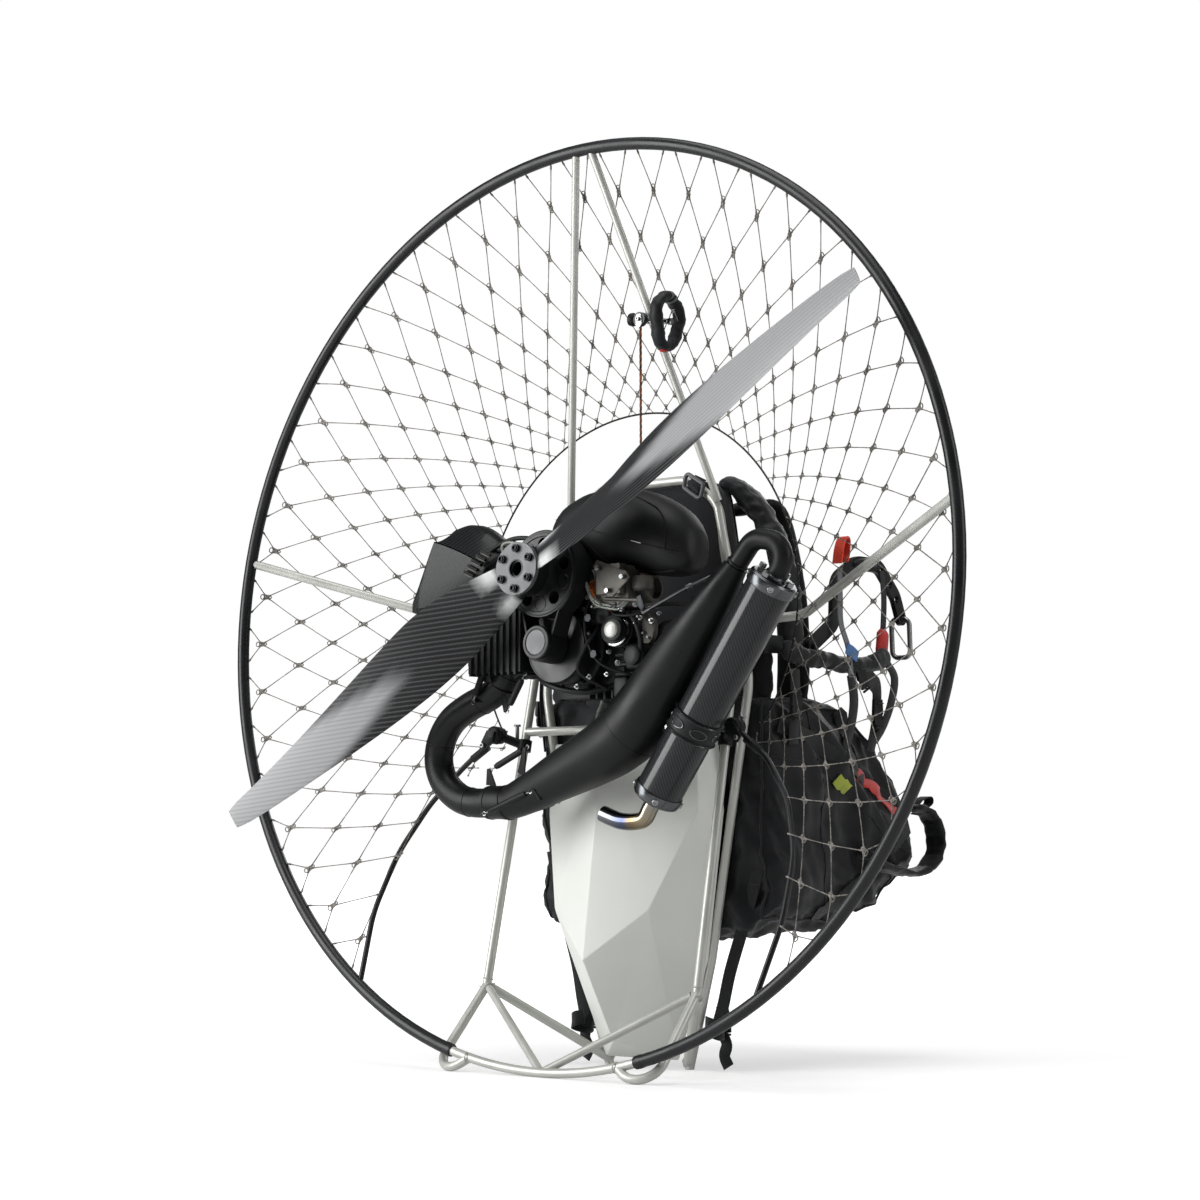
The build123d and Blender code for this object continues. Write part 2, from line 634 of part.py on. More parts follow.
def seat():
    """Seat and its pouch below the backrest, folded up behind the frame."""
    plane = Plane(origin=high(-SEAT_HALF, HARNESS_REAR, 0), x_dir=(0, 1, 0), z_dir=(1, 0, 0))
    corners = [(0, 206), (227, 203), (377, 245), (415, 300), (409, 368), (317, 470),
               (197, SEAT_TOP), (0, SEAT_TOP)]
    return extrude(outline(plane, corners), 2 * SEAT_HALF)


def shoulder_strap():
    """Padded strap from the top of the backrest over and down to the seat."""
    front = HARNESS_REAR + BACK_THICK + FIT
    route = points((112, front, 850), (140, front + 70, 852), (172, front + 76, 700),
                   (182, front + 60, SEAT_TOP + FIT + 2))
    return cope(tube(route, STRAP, [34, 90]), seat(), backrest())


def leg_strap():
    x = SEAT_HALF + LEG_STRAP / 2 + FIT
    y = HARNESS_REAR
    return tube(points((x, y + 227, 330), (x, y + 317, 300), (x, y + 372, 380)), LEG_STRAP, [30])


def arm_mount(frame_tubes):
    """Slotted bar bolted to the frame, with the pin that a swing arm turns on."""
    y, z = ARM_PIVOT
    inner = ARM_X - ARM_THICK / 2 - 1
    start = inner - RAIL_THICK
    corners = [(FRONT_Y, z - 17), (y, z - 12), (y + 12, z), (y, z + 12), (FRONT_Y, z + 11)]
    plane = Plane(origin=high(start, 0, 0), x_dir=(0, 1, 0), z_dir=(1, 0, 0))
    rail = extrude(outline(plane, corners), RAIL_THICK)
    foot = Pos(high(212, FRONT_Y + 2, z - 3)) * Box(26, 22, 28)
    pin_shape = Cylinder(PIVOT_R, ARM_THICK + 16, align=BASE)
    pin = Pos(high(start, y, z)) * (Rot(0, 90, 0) * pin_shape)
    return cope(rail + foot + pin, *frame_tubes)


def arm_route():
    """Corners of the arm's middle line, y and z."""
    y, z = ARM_PIVOT
    steps = [(0, 0), (62, 39), (64, 105), (120, 137), (182, 137), (230, 92), (246, 57)]
    return [(y + step_y, z + step_z) for step_y, step_z in steps]


def swing_arm():
    """Goose-neck arm with a row of hang holes down its outer end."""
    plane = Plane(origin=high(ARM_X - ARM_THICK / 2, 0, 0), x_dir=(0, 1, 0), z_dir=(1, 0, 0))
    path = FilletPolyline(*[(y, z) for y, z in arm_route()], radius=[26, 26, 40, 30, 30])
    face = trace(path, ARM_WIDTH)
    ends = [Pos(y, z) * Circle(ARM_WIDTH / 2) for y, z in (arm_route()[0], arm_route()[-1])]
    arm = extrude(plane * (face + ends), ARM_THICK)
    y, z = ARM_PIVOT
    arm -= across(y, z, PIVOT_R + RUN)
    for y, z in hang_holes():
        arm -= across(y, z, HANG_HOLE_R)
    return arm


def across(y, z, radius):
    """Round cutter through the swing arm's plane."""
    return Pos(high(ARM_X, y, z)) * (Rot(0, 90, 0) * Cylinder(radius, 60))


def hang_holes():
    """Four holes along the outer end, the last one for the carabiner."""
    y, z = ARM_PIVOT
    return [(y + 190, z + 130), (y + 211, z + 109), (y + 230, z + 87), (y + 245, z + 59)]


def carabiner():
    """Steel ring clip through the last hang hole."""
    y, z = hang_holes()[-1]
    wire = CLIP_WIRE / 2
    top = z - HANG_HOLE_R + wire + FIT
    reach = 17
    route = [(ARM_X - reach, y, top), (ARM_X + reach, y, top), (ARM_X + reach, y + 3, top - 62),
             (ARM_X - reach, y + 3, top - 62)]
    path = FilletPolyline(*points(*route), radius=[11, 11, 11, 11], close=True)
    return sweep(Plane(origin=path @ 0, z_dir=path % 0) * Circle(wire), path=path)


# ---- The whole pack ----------------------------------------------------------------------------
def build():
    hoop = solid_hoop_half()
    front_right, front_left, top_bar = front_frame_pieces()
    rear = rear_tube()
    arc = base_arc()
    rear = cope(rear, front_right, top_bar)
    foot = cope(foot_loop(), rear, arc, hoop)
    rail = cope(bottom_rail(), rear, foot, front_right)
    brace = cope(base_brace(), rear, foot, rail, arc)
    spar = cope(side_spar(), hoop, rear, front_right)
    top = cope(top_spar(), hoop, front_right, top_bar, rear)
    rod = cage_rod()
    clamp = rod_clamp(rear)
    engine = crankcase()
    arm_bar = arm_mount([front_right, rear])
    chamber = exhaust_chamber()
    starter = starter_housing(engine)
    guide = starter_guide(top)

    nodes = {
        "hoop_right": hoop_half(), "base_arc": arc, "foot_loop_right": foot,
        "base_braces": Compound([brace, left(brace)]), "bottom_rail_right": rail,
        "rear_tube_right": rear, "front_tube_right": front_right, "front_tube_left": front_left,
        "top_bar": top_bar, "cross_tube": cope(cross_tube(), rear, left(rear)),
        "top_spar_right": top, "side_spar_right": spar,
        "cage_rod_right": cope(rod, clamp, hoop), "rod_clamp_right": clamp,
        "fuel_tank": fuel_tank(), "crankcase": engine, "cylinder": cylinder() - engine,
        "cooling_scoop": cooling_scoop(), "airbox": airbox(), "carburettor": carburettor(),
        "reduction_carrier": reduction_carrier(engine), "drive_belt": drive_belt(),
        "starter_housing": starter, "prop_pulley": prop_pulley(),
        "clutch_bell": clutch_bell(), "propeller_blades": propeller_blades(),
        "hub_plate": hub_plate(), "prop_bolts": prop_bolts(),
        "exhaust_elbow": exhaust_elbow() - cylinder(), "exhaust_chamber": chamber,
        "silencer_body": silencer_body(), "silencer_caps": silencer_caps(),
        "silencer_clamp": silencer_clamp(chamber), "tail_pipe": tail_pipe(),
        "exhaust_hanger": exhaust_hanger(chamber, engine),
        "starter_guide": guide, "starter_cord": starter_cord(guide, starter),
        "starter_handle": starter_handle(), "backrest": backrest(), "seat": seat(),
        "shoulder_strap_right": shoulder_strap(), "leg_strap_right": leg_strap(),
        "arm_mount_right": arm_bar, "swing_arm_right": swing_arm(), "carabiner_right": carabiner(),
    }
    twins = ["hoop", "foot_loop", "bottom_rail", "rear_tube", "top_spar", "side_spar", "cage_rod",
             "rod_clamp", "shoulder_strap", "leg_strap", "arm_mount", "swing_arm", "carabiner"]
    for name in twins:
        nodes[name + "_left"] = left(nodes[name + "_right"])
    crossbar = nodes["cross_tube"]
    nodes["engine_mounts"] = engine_mounts(engine, starter, rear, left(rear), crossbar)
    return nodes


def write(nodes):
    os.makedirs("parts", exist_ok=True)
    for name, shape in sorted(nodes.items()):
        export_step(Pos(0, STATION_Y, 0) * shape, f"parts/{name}.step")


if __name__ == "__main__":
    write(build())
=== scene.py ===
"""The looks of a caged propeller engine pack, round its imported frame. Blender 4.5, metres."""
import json
import math
import random

import bmesh
import bpy
from mathutils import Matrix, Vector, noise
from mathutils.bvhtree import BVHTree
from mathutils.geometry import intersect_line_line


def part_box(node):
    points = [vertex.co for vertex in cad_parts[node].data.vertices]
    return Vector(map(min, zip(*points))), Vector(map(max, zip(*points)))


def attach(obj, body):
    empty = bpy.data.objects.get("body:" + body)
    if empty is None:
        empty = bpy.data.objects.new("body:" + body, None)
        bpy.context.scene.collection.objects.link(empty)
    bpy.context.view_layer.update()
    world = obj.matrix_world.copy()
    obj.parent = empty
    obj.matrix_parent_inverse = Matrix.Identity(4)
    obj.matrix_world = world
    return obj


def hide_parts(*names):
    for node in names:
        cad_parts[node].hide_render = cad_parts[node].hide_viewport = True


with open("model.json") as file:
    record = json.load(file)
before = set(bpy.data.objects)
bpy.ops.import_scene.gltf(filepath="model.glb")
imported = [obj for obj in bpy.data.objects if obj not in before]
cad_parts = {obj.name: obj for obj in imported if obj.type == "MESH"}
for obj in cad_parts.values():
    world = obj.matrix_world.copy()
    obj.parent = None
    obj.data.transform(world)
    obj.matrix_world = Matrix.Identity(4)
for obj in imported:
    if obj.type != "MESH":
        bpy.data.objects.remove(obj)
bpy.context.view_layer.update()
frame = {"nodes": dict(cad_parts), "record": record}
random.seed(7)

# ---- Places taken from the frame -----------------------------------------------------------------
JOINTS = {joint["name"]: joint for joint in frame["record"]["behaviour"]["joints"]}
HUB = Vector(JOINTS["propeller_spin"]["pos_m"])
CRANK = Vector(JOINTS["clutch_spin"]["pos_m"])
FORWARD = Vector(JOINTS["propeller_spin"]["axis"]).normalized()
RIGHT = Vector((1, 0, 0))
BACK = -FORWARD
UP = RIGHT.cross(FORWARD)
HUB_ABOVE_HOOP = 0.032
HOOP_CENTRE = HUB - UP * HUB_ABOVE_HOOP
HOOP_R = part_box("hoop_right")[1].x - 0.0095
MM = 0.001
# Level ahead, straight up and straight down. The propeller's axis leans a little from them.
AHEAD = Vector((0, 1, 0))
UPRIGHT = Vector((0, 0, 1))
PLUMB = Vector((0, 0, -1))
SIDES = ((1, "right"), (-1, "left"))
WEBBING_SHAPE = [(-1, -0.6), (-0.94, -1), (0.94, -1), (1, -0.6), (1, 0.6), (0.94, 1), (-0.94, 1),
    (-1, 0.6)]


def at(x, y, z):
    """Point in metres from millimetres: x to the pilot's right, y ahead of the hoop, z up."""
    return Vector((x, y, z)) * MM + Vector((0, HOOP_CENTRE.y, 0))


def beside(side):
    """Gives at() for one side of the pack, its x measured outwards."""
    return lambda x, y, z: at(side * x, y, z)


def sided(side, *triples):
    """Points on one side of the pack, their x measured outwards."""
    return [at(side * x, y, z) for x, y, z in triples]


def many(*triples):
    return [at(*triple) for triple in triples]


def behind(centre, back, right=0.0, up=0.0):
    """Point in millimetres off an axis through centre that points back."""
    return centre + (BACK * back + RIGHT * right + UP * up) * MM


def on_circle(centre, back, radius, turn):
    """Point on a circle of radius mm round an axis that points back."""
    return behind(centre, back, radius * math.sin(turn), radius * math.cos(turn))


def around(a, b, turn):
    """Direction in the plane of a and b, turned from a towards b."""
    return a * math.cos(turn) + b * math.sin(turn)


def squircle(turn, power):
    """Cosine, sine and reach of a rounded square at one angle."""
    a, b = math.cos(turn), math.sin(turn)
    return a, b, (abs(a) ** power + abs(b) ** power) ** (-1 / power)


def on_hoop(angle, radius=HOOP_R, ahead=0.0):
    """Point in the hoop's plane, its angle in degrees from the top to the pilot's right."""
    turn = math.radians(angle)
    return HOOP_CENTRE + (RIGHT * math.sin(turn) + UP * math.cos(turn)) * radius + FORWARD * ahead


# ---- Meshes --------------------------------------------------------------------------------------
def shown(name, mesh, material, sharp=35):
    piece = bpy.data.objects.new(name, mesh)
    bpy.context.scene.collection.objects.link(piece)
    if material:
        mesh.materials.append(material)
    for polygon in mesh.polygons:
        polygon.use_smooth = True
    mesh.set_sharp_from_angle(angle=math.radians(sharp))
    return piece


def skin(name, rings, material=None, caps=True, closed=False, around=True, sharp=35):
    """Mesh over rows of points, with a map in millimetres along and around it."""
    rows, count = len(rings), len(rings[0])
    vertices = [point for ring in rings for point in ring]
    steps = count if around else count - 1
    faces, maps = [], []
    along = [0.0]
    for a, b in zip(rings, rings[1:] + rings[:1]):
        along.append(along[-1] + sum((q - p).length for p, q in zip(a, b)) / count / MM)
    widest = max(rings, key=lambda ring: sum((q - p).length for p, q in zip(ring, ring[1:])))
    across = [0.0]
    for p, q in zip(widest, widest[1:] + widest[:1]):
        across.append(across[-1] + (q - p).length / MM)
    for i in range(rows if closed else rows - 1):
        for j in range(steps):
            k, m = (i + 1) % rows, (j + 1) % count
            faces.append((i * count + j, i * count + m, k * count + m, k * count + j))
            maps.append([(across[j], along[i]), (across[j + 1], along[i]),
                (across[j + 1], along[i + 1]), (across[j], along[i + 1])])
    if caps and around and not closed:
        for start, order in ((0, -1), ((rows - 1) * count, 1)):
            face = tuple(range(start, start + count))[::order]
            middle = sum((vertices[k] for k in face), Vector()) / count
            faces.append(face)
            maps.append([((vertices[k] - middle).x / MM, (vertices[k] - middle).z / MM)
                for k in face])
    mesh = bpy.data.meshes.new(name)
    mesh.from_pydata(vertices, [], faces)
    layer = mesh.uv_layers.new(name="mm")
    flat = [value for face in maps for pair in face for value in pair]
    layer.data.foreach_set("uv", flat)
    mesh.validate()
    return shown(name, mesh, material, sharp)


def curve(points, per=8, closed=False):
    """Smooth line through points."""
    count = len(points)
    line = []
    for i in range(count if closed else count - 1):
        a, b = points[i], points[(i + 1) % count]
        before = points[i - 1] if closed or i else a + a - b
        after = points[(i + 2) % count] if closed or i + 2 < count else b + b - a
        for step in range(per):
            t = step / per
            line.append(0.5 * (2 * a + (b - before) * t + (2 * before - 5 * a + 4 * b - after) * t
                * t + (3 * a - before - 3 * b + after) * t ** 3))
    return line if closed else line + [points[-1]]


def bent(corners, radii, per=8):
    """Straight runs joined by round bends, as a bender makes them."""
    line = [corners[0]]
    for i, radius in enumerate(radii, 1):
        here = corners[i]
        back = (corners[i - 1] - here).normalized()
        ahead = (corners[i + 1] - here).normalized()
        half = back.angle(ahead) / 2
        reach = radius / math.tan(half)
        centre = here + (back + ahead).normalized() * (radius / math.sin(half))
        start = here + back * reach - centre
        turn = math.pi - 2 * half
        axis = back.cross(ahead)
        line += [centre + Matrix.Rotation(-turn * k / per, 3, axis) @ start for k in range(per + 1)]
    return line + [corners[-1]]


def stations(line, closed=False):
    """A direction and two square ones at each point of a line, without twist."""
    count = len(line)
    found = []
    side = None
    for i, point in enumerate(line):
        before = line[i - 1] if closed or i else point
        after = line[(i + 1) % count] if closed or i + 1 < count else point
        ahead = (after - before).normalized()
        if side is None:
            side = ahead.orthogonal().normalized()
        side = (side - ahead * side.dot(ahead)).normalized()
        found.append((point, ahead, side, ahead.cross(side)))
    return found


def pipe(name, line, radius, material=None, sides=16, closed=False, caps=True, inner=None):
    """Round bar or pipe along a line. radius is one value or one for each point."""
    radii = radius if isinstance(radius, (list, tuple)) else [radius] * len(line)
    found = stations(line, closed)

    def ring(i, size):
        point, ahead, a, b = found[i]
        turns = [math.tau * k / sides for k in range(sides)]
        return [point + around(a, b, turn) * size for turn in turns]

    rings = [ring(i, size) for i, size in enumerate(radii)]
    if inner:
        last = len(line) - 1
        depths = range(last, max(last - inner, 0) - 1, -1)
        rings += [ring(i, radii[i] - 1.2 * MM) for i in depths]
    return skin(name, rings, material, caps, closed)


def strap(name, line, width, thick, material=None, across=None, closed=False):
    """Flat webbing along a line, its width along the direction across."""
    found = stations(line, closed)
    rings = []
    for point, ahead, a, b in found:
        wide = (across - ahead * across.dot(ahead)).normalized() if across else a
        high = ahead.cross(wide)
        rings.append([point + wide * (u * width / 2) + high * (v * thick / 2) for u,
            v in WEBBING_SHAPE])
    return skin(name, rings, material, closed=closed)


def turned(name, profile, centre, axis, material=None, sides=40, caps=True, sharp=35):
    """Lathe-turned piece: profile is (radius, height along the axis) in millimetres."""
    a = axis.orthogonal().normalized()
    b = axis.cross(a)
    rings = []
    for radius, height in profile:
        turns = [math.tau * k / sides for k in range(sides)]
        rings.append([centre + (axis * height + around(a, b, turn) * radius) * MM
            for turn in turns])
    return skin(name, rings, material, caps, sharp=sharp)


def plate(name, corners, thick, material=None, bevel=0.8, sharp=35):
    """Flat plate from its corner points, thick millimetres along their normal, edges rounded."""
    shape = bmesh.new()
    face = shape.faces.new([shape.verts.new(corner) for corner in corners])
    shape.normal_update()
    normal = face.normal.copy()
    moved = bmesh.ops.extrude_face_region(shape, geom=[face])["geom"]
    shift = [vertex for vertex in moved if isinstance(vertex, bmesh.types.BMVert)]
    bmesh.ops.translate(shape, verts=shift, vec=normal * thick * MM)
    bmesh.ops.recalc_face_normals(shape, faces=shape.faces)
    if bevel:
        bmesh.ops.bevel(shape, geom=list(shape.edges), offset=bevel * MM, segments=2, profile=0.6,
            affect="EDGES")
    mesh = bpy.data.meshes.new(name)
    shape.to_mesh(mesh)
    shape.free()
    return shown(name, mesh, material, sharp)


def block(name, low, high, material=None, bevel=2.0, turn=None, sharp=35):
    """Cast or moulded block between two corners, edges rounded."""
    centre = (low + high) / 2
    half = (high - low) / 2
    shape = bmesh.new()
    bmesh.ops.create_cube(shape, size=2)
    bmesh.ops.scale(shape, verts=shape.verts, vec=half)
    bmesh.ops.bevel(shape, geom=list(shape.edges), offset=bevel * MM, segments=3, profile=0.5,
        affect="EDGES")
    if turn:
        bmesh.ops.rotate(shape, verts=shape.verts, matrix=turn)
    bmesh.ops.translate(shape, verts=shape.verts, vec=centre)
    mesh = bpy.data.meshes.new(name)
    shape.to_mesh(mesh)
    shape.free()
    return shown(name, mesh, material, sharp)


def screw(centre, axis, radius=3.0, height=3.0, material=None, socket=True, sides=24):
    """Round-headed screw with a hex socket, or a hexagon head."""
    if not socket:
        return turned("screw", [(radius, 0), (radius, height * 0.85), (radius * 0.86, height)],
            centre, axis, material, 6, sharp=20)
    profile = [(radius, 0), (radius, height * 0.8), (radius * 0.88, height),
        (radius * 0.55, height), (radius * 0.5, height * 0.4)]
    return turned("screw", profile, centre, axis, material, sides)


def joined(name, pieces):
    """Several meshes made one piece, materials kept."""
    with bpy.context.temp_override(active_object=pieces[0], selected_editable_objects=pieces):
        bpy.ops.object.join()
    pieces[0].name = name
    pieces[0].data.name = name
    return pieces[0]


def give(piece, body, slot, *replaced):
    """Hands a finished piece to its body, in place of CAD nodes. The slot is not used."""
    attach(piece, body)
    if replaced:
        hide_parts(*replaced)
    return piece


def assembled(name, pieces, body, slot, *replaced):
    """Joins meshes into one piece and gives it."""
    return give(joined(name, pieces), body, slot, *replaced)


def mirrored(piece, name):
    """The same piece on the other side."""
    twin = piece.copy()
    twin.data = piece.data.copy()
    twin.data.transform(Matrix.Scale(-1, 4, RIGHT))
    twin.data.flip_normals()
    twin.name = name
    bpy.context.scene.collection.objects.link(twin)
    return twin


# ---- Materials -----------------------------------------------------------------------------------
def linear(code):
    """Linear colour of an sRGB hex value."""
    channels = [int(code[i:i + 2], 16) / 255 for i in (1, 3, 5)]
    return [c / 12.92 if c <= 0.04045 else ((c + 0.055) / 1.055) ** 2.4 for c in channels] + [1]


def add(material, kind, settings=(), links=()):
    """Adds one node to a material, with its settings and the outputs that feed it."""
    node = material.node_tree.nodes.new("ShaderNode" + kind)
    for name, value in dict(settings).items():
        if isinstance(name, int) or name in node.inputs:
            node.inputs[name].default_value = value
        else:
            setattr(node, name, value)
    for name, source in dict(links).items():
        material.node_tree.links.new(source, node.inputs[name])
    return node


def shaded(name, code, rough, metallic=0.0, **sockets):
    """New material with its main shader set. Returns the material and the shader."""
    material = bpy.data.materials.new(name)
    material.use_nodes = True
    shader = material.node_tree.nodes["Principled BSDF"]
    settings = {"Base Color": linear(code), "Roughness": rough, "Metallic": metallic}
    settings.update({key.replace("_", " "): value for key, value in sockets.items()})
    for key, value in settings.items():
        shader.inputs[key].default_value = value
    return material, shader


def surface(name, code, second, rough, metallic=0.0, grain=1.0, depth=0.03, patch=60.0, drift=0.08,
        **sockets):
    """Finish whose tone drifts over patches and whose grain catches the light. Sizes in mm."""
    material, shader = shaded(name, code, rough, metallic, **sockets)
    place = add(material, "TexCoord").outputs["Object"]
    patches = add(material, "TexNoise", {"Scale": 1000 / patch, "Detail": 3}, {"Vector": place})
    tones = add(material, "ValToRGB", {}, {"Fac": patches.outputs["Fac"]})
    tones.color_ramp.elements[0].color = linear(code)
    tones.color_ramp.elements[0].position = 0.35
    tones.color_ramp.elements[1].color = linear(second)
    tones.color_ramp.elements[1].position = 0.7
    spread = add(material, "MapRange", {"From Min": 0.3, "From Max": 0.7, "To Min": rough - drift,
        "To Max": rough + drift}, {"Value": patches.outputs["Fac"]})
    grains = add(material, "TexNoise", {"Scale": 1000 / grain, "Detail": 2}, {"Vector": place})
    bump = add(material, "Bump", {"Strength": 0.5, "Distance": depth * MM},
        {"Height": grains.outputs["Fac"]})
    link = material.node_tree.links.new
    link(tones.outputs["Color"], shader.inputs["Base Color"])
    link(spread.outputs["Result"], shader.inputs["Roughness"])
    link(bump.outputs["Normal"], shader.inputs["Normal"])
    return material


def twill(material, shader, mapping, tow, dark, light, rough=0.3):
    """2/2 twill of flat carbon tows under clear resin: two tones step across tows of tow mm."""
    scaled = add(material, "Mapping", {"Scale": [1 / tow] * 3}, {"Vector": mapping})
    axes = add(material, "SeparateXYZ", {}, {"Vector": scaled.outputs["Vector"]})
    whole = [add(material, "Math", {"operation": "FLOOR"}, {0: axes.outputs[axis]}).outputs[0]
        for axis in ("X", "Y")]
    total = add(material, "Math", {"operation": "ADD"}, {0: whole[0], 1: whole[1]})
    turn = add(material, "Math", {"operation": "FLOORED_MODULO", 1: 4.0}, {0: total.outputs[0]})
    over = add(material, "Math", {"operation": "LESS_THAN", 1: 1.5}, {0: turn.outputs[0]})
    fibre = add(material, "TexNoise", {"Scale": 3.0, "Detail": 2.0},
        {"Vector": scaled.outputs["Vector"]})
    shade = add(material, "Math", {"operation": "MULTIPLY_ADD", 1: 0.5, 2: -0.18},
        {0: fibre.outputs["Fac"]})
    tone = add(material, "Math", {"operation": "ADD", "use_clamp": True},
        {0: over.outputs[0], 1: shade.outputs[0]})
    colour = add(material, "ValToRGB", {}, {"Fac": tone.outputs[0]})
    colour.color_ramp.elements[0].color = linear(dark)
    colour.color_ramp.elements[1].color = linear(light)
    bump = add(material, "Bump", {"Strength": 0.25, "Distance": 0.1 * MM},
        {"Height": tone.outputs[0]})
    gloss = add(material, "MapRange", {"To Min": rough, "To Max": rough + 0.12},
        {"Value": tone.outputs[0]})
    link = material.node_tree.links.new
    link(colour.outputs["Color"], shader.inputs["Base Color"])
    link(gloss.outputs["Result"], shader.inputs["Roughness"])
    link(bump.outputs["Normal"], shader.inputs["Normal"])


def ribbed(material, shader, spacing, depth):
    """Woven ribs across a strap, spacing mm apart, over its own finish."""
    place = add(material, "UVMap").outputs["UV"]
    axes = add(material, "SeparateXYZ", {}, {"Vector": place})
    wave = add(material, "Math", {"operation": "SINE"},
        {0: add(material, "Math", {"operation": "MULTIPLY", 1: math.tau / spacing},
        {0: axes.outputs["Y"]}).outputs[0]})
    other = add(material, "Math", {"operation": "SINE"},
        {0: add(material, "Math", {"operation": "MULTIPLY", 1: math.tau / (spacing * 1.3)},
        {0: axes.outputs["X"]}).outputs[0]})
    height = add(material, "Math", {"operation": "MULTIPLY"},
        {0: wave.outputs[0], 1: other.outputs[0]})
    bump = add(material, "Bump", {"Strength": 0.6, "Distance": depth * MM},
        {"Height": height.outputs[0]})
    material.node_tree.links.new(bump.outputs["Normal"], shader.inputs["Normal"])


# Powder-coated steel: satin black with soft long highlights and a faint orange peel.
HOOP_COAT = surface("powder_coat_black", "#17181A", "#1F2022", 0.36, grain=14, depth=0.01,
    Specular_IOR_Level=0.35)
# Painted aluminium tube: warm light grey, satin, slightly uneven where hands rub it.
FRAME_COAT = surface("painted_aluminium", "#BDBEB8", "#C6C7C1", 0.4, 0.35, grain=14, depth=0.01)
# Weld bead, ground and painted over: same grey with ripples.
WELD = surface("painted_weld", "#A4A59E", "#BBBCB5", 0.42, grain=3.0, depth=0.4)
# Moulded polyethylene: pale grey-green, matt, with a fine moulded grain.
TANK_PLASTIC = surface("moulded_polyethylene", "#E4E6E1", "#DFE1DB", 0.46, grain=1.2, depth=0.012,
    patch=140)
# Glass-filled nylon: matt black moulding with a light, even grain.
AIRBOX_PLASTIC = surface("moulded_black_nylon", "#0E0F10", "#141517", 0.54, grain=0.9, depth=0.012,
    Specular_IOR_Level=0.3)
# Cast aluminium, painted black: pebbly, with worn highs.
CASTING = surface("black_sand_casting", "#151617", "#222425", 0.5, grain=1.6, depth=0.22, patch=25,
    Specular_IOR_Level=0.25)
# Bare cast aluminium, dulled by oil and heat: dark warm grey, pebbly.
BARE_CASTING = surface("bare_sand_casting", "#4C4A45", "#5F5D58", 0.5, 0.6, grain=1.6, depth=0.18,
    patch=18)
# Zinc-plated steel hardware: bright, faintly blotched.
ZINC = surface("zinc_plated_steel", "#9A9B9B", "#838586", 0.34, 1.0, grain=2.0, depth=0.03,
    patch=12)
# Black-oxide screws: near black with a metal sheen.
BLACK_OXIDE = surface("black_oxide_steel", "#1A1B1D", "#2B2C2E", 0.3, 0.9, grain=1.2, depth=0.03,
    patch=9)
# Polished chrome plating: a bright mirror with small waves.
CHROME = surface("chrome_plating", "#D6D7D8", "#C6C8CA", 0.1, 1.0, grain=5.0, depth=0.02, patch=30,
    drift=0.03)
# Ceramic heat paint on the exhaust: matt black, dusty patches.
HEAT_PAINT = surface("ceramic_heat_paint", "#0D0E0F", "#161718", 0.42, grain=0.9, depth=0.02,
    patch=70, drift=0.1, Specular_IOR_Level=0.25)
# Rubber and its moulded hoses: deep black, soft highlight.
RUBBER = surface("black_rubber", "#101112", "#191A1B", 0.52, grain=1.0, depth=0.08,
    Specular_IOR_Level=0.25)
# Enamelled copper windings: copper orange.
COPPER = surface("enamelled_copper", "#B0602C", "#8A4218", 0.3, 0.9, grain=1.2, depth=0.1, patch=6)
# Paper gasket: yellow brown.
GASKET = surface("gasket_paper", "#A9874A", "#8F6E38", 0.7, grain=0.8, depth=0.08, patch=8)
# Anodised aluminium plates: dark grey, satin.
ANODISED = surface("grey_anodised_aluminium", "#57585A", "#5F6062", 0.46, 0.3, grain=1.0,
    depth=0.02, patch=30)
# Dark anodised bell and pulleys: near black, satin, with little metal in the highlight.
BELL_COAT = surface("dark_anodised_aluminium", "#121315", "#1A1B1D", 0.45, 0.1, grain=1.0,
    depth=0.03, patch=40)
# Braided cable sleeve and fuel line: grey green, slightly clear.
FUEL_LINE = surface("fuel_line", "#7A8078", "#8D938A", 0.3, grain=2.0, depth=0.02, patch=20,
    Transmission_Weight=0.25)
# Polished end caps of the silencer: dark metal with sharp highlights.
CAP_METAL = surface("polished_dark_cap", "#545658", "#606264", 0.26, 1.0, grain=3.0, depth=0.03,
    patch=20, drift=0.05)
# Dyed polyester cloth of tabs, tags and loops: flat strong colours, a fuzzy edge of light.
RED_CLOTH = surface("red_webbing_cloth", "#C01E14", "#A81812", 0.8, grain=1.0, depth=0.2, patch=20,
    Sheen_Weight=0.3)
ORANGE_CLOTH = surface("orange_webbing_cloth", "#E23A12", "#CC3010", 0.8, grain=1.0, depth=0.2,
    patch=15, Sheen_Weight=0.3)
BLUE_CLOTH = surface("blue_webbing_cloth", "#3F6FA8", "#355F93", 0.75, grain=1.0, depth=0.2,
    patch=15, Sheen_Weight=0.3)
YELLOW_CLOTH = surface("yellow_webbing_cloth", "#A7B238", "#96A02E", 0.75, grain=1.0, depth=0.2,
    patch=15, Sheen_Weight=0.3)
# Coated nylon of the harness: black with a faint sheen. Its fine weave is drawn coarser, at 1.8 mm.
NYLON = surface("coated_black_nylon", "#121315", "#1B1C1F", 0.5, grain=1.8, depth=0.25, patch=90,
    Sheen_Weight=0.15, Specular_IOR_Level=0.16)
# Padded spacer mesh where the pilot's back rests: matt, with 2.5 mm cells.
SPACER = surface("spacer_mesh_cloth", "#1A1B1E", "#232428", 0.82, grain=2.5, depth=0.7, patch=60,
    Sheen_Weight=0.35, Specular_IOR_Level=0.12)
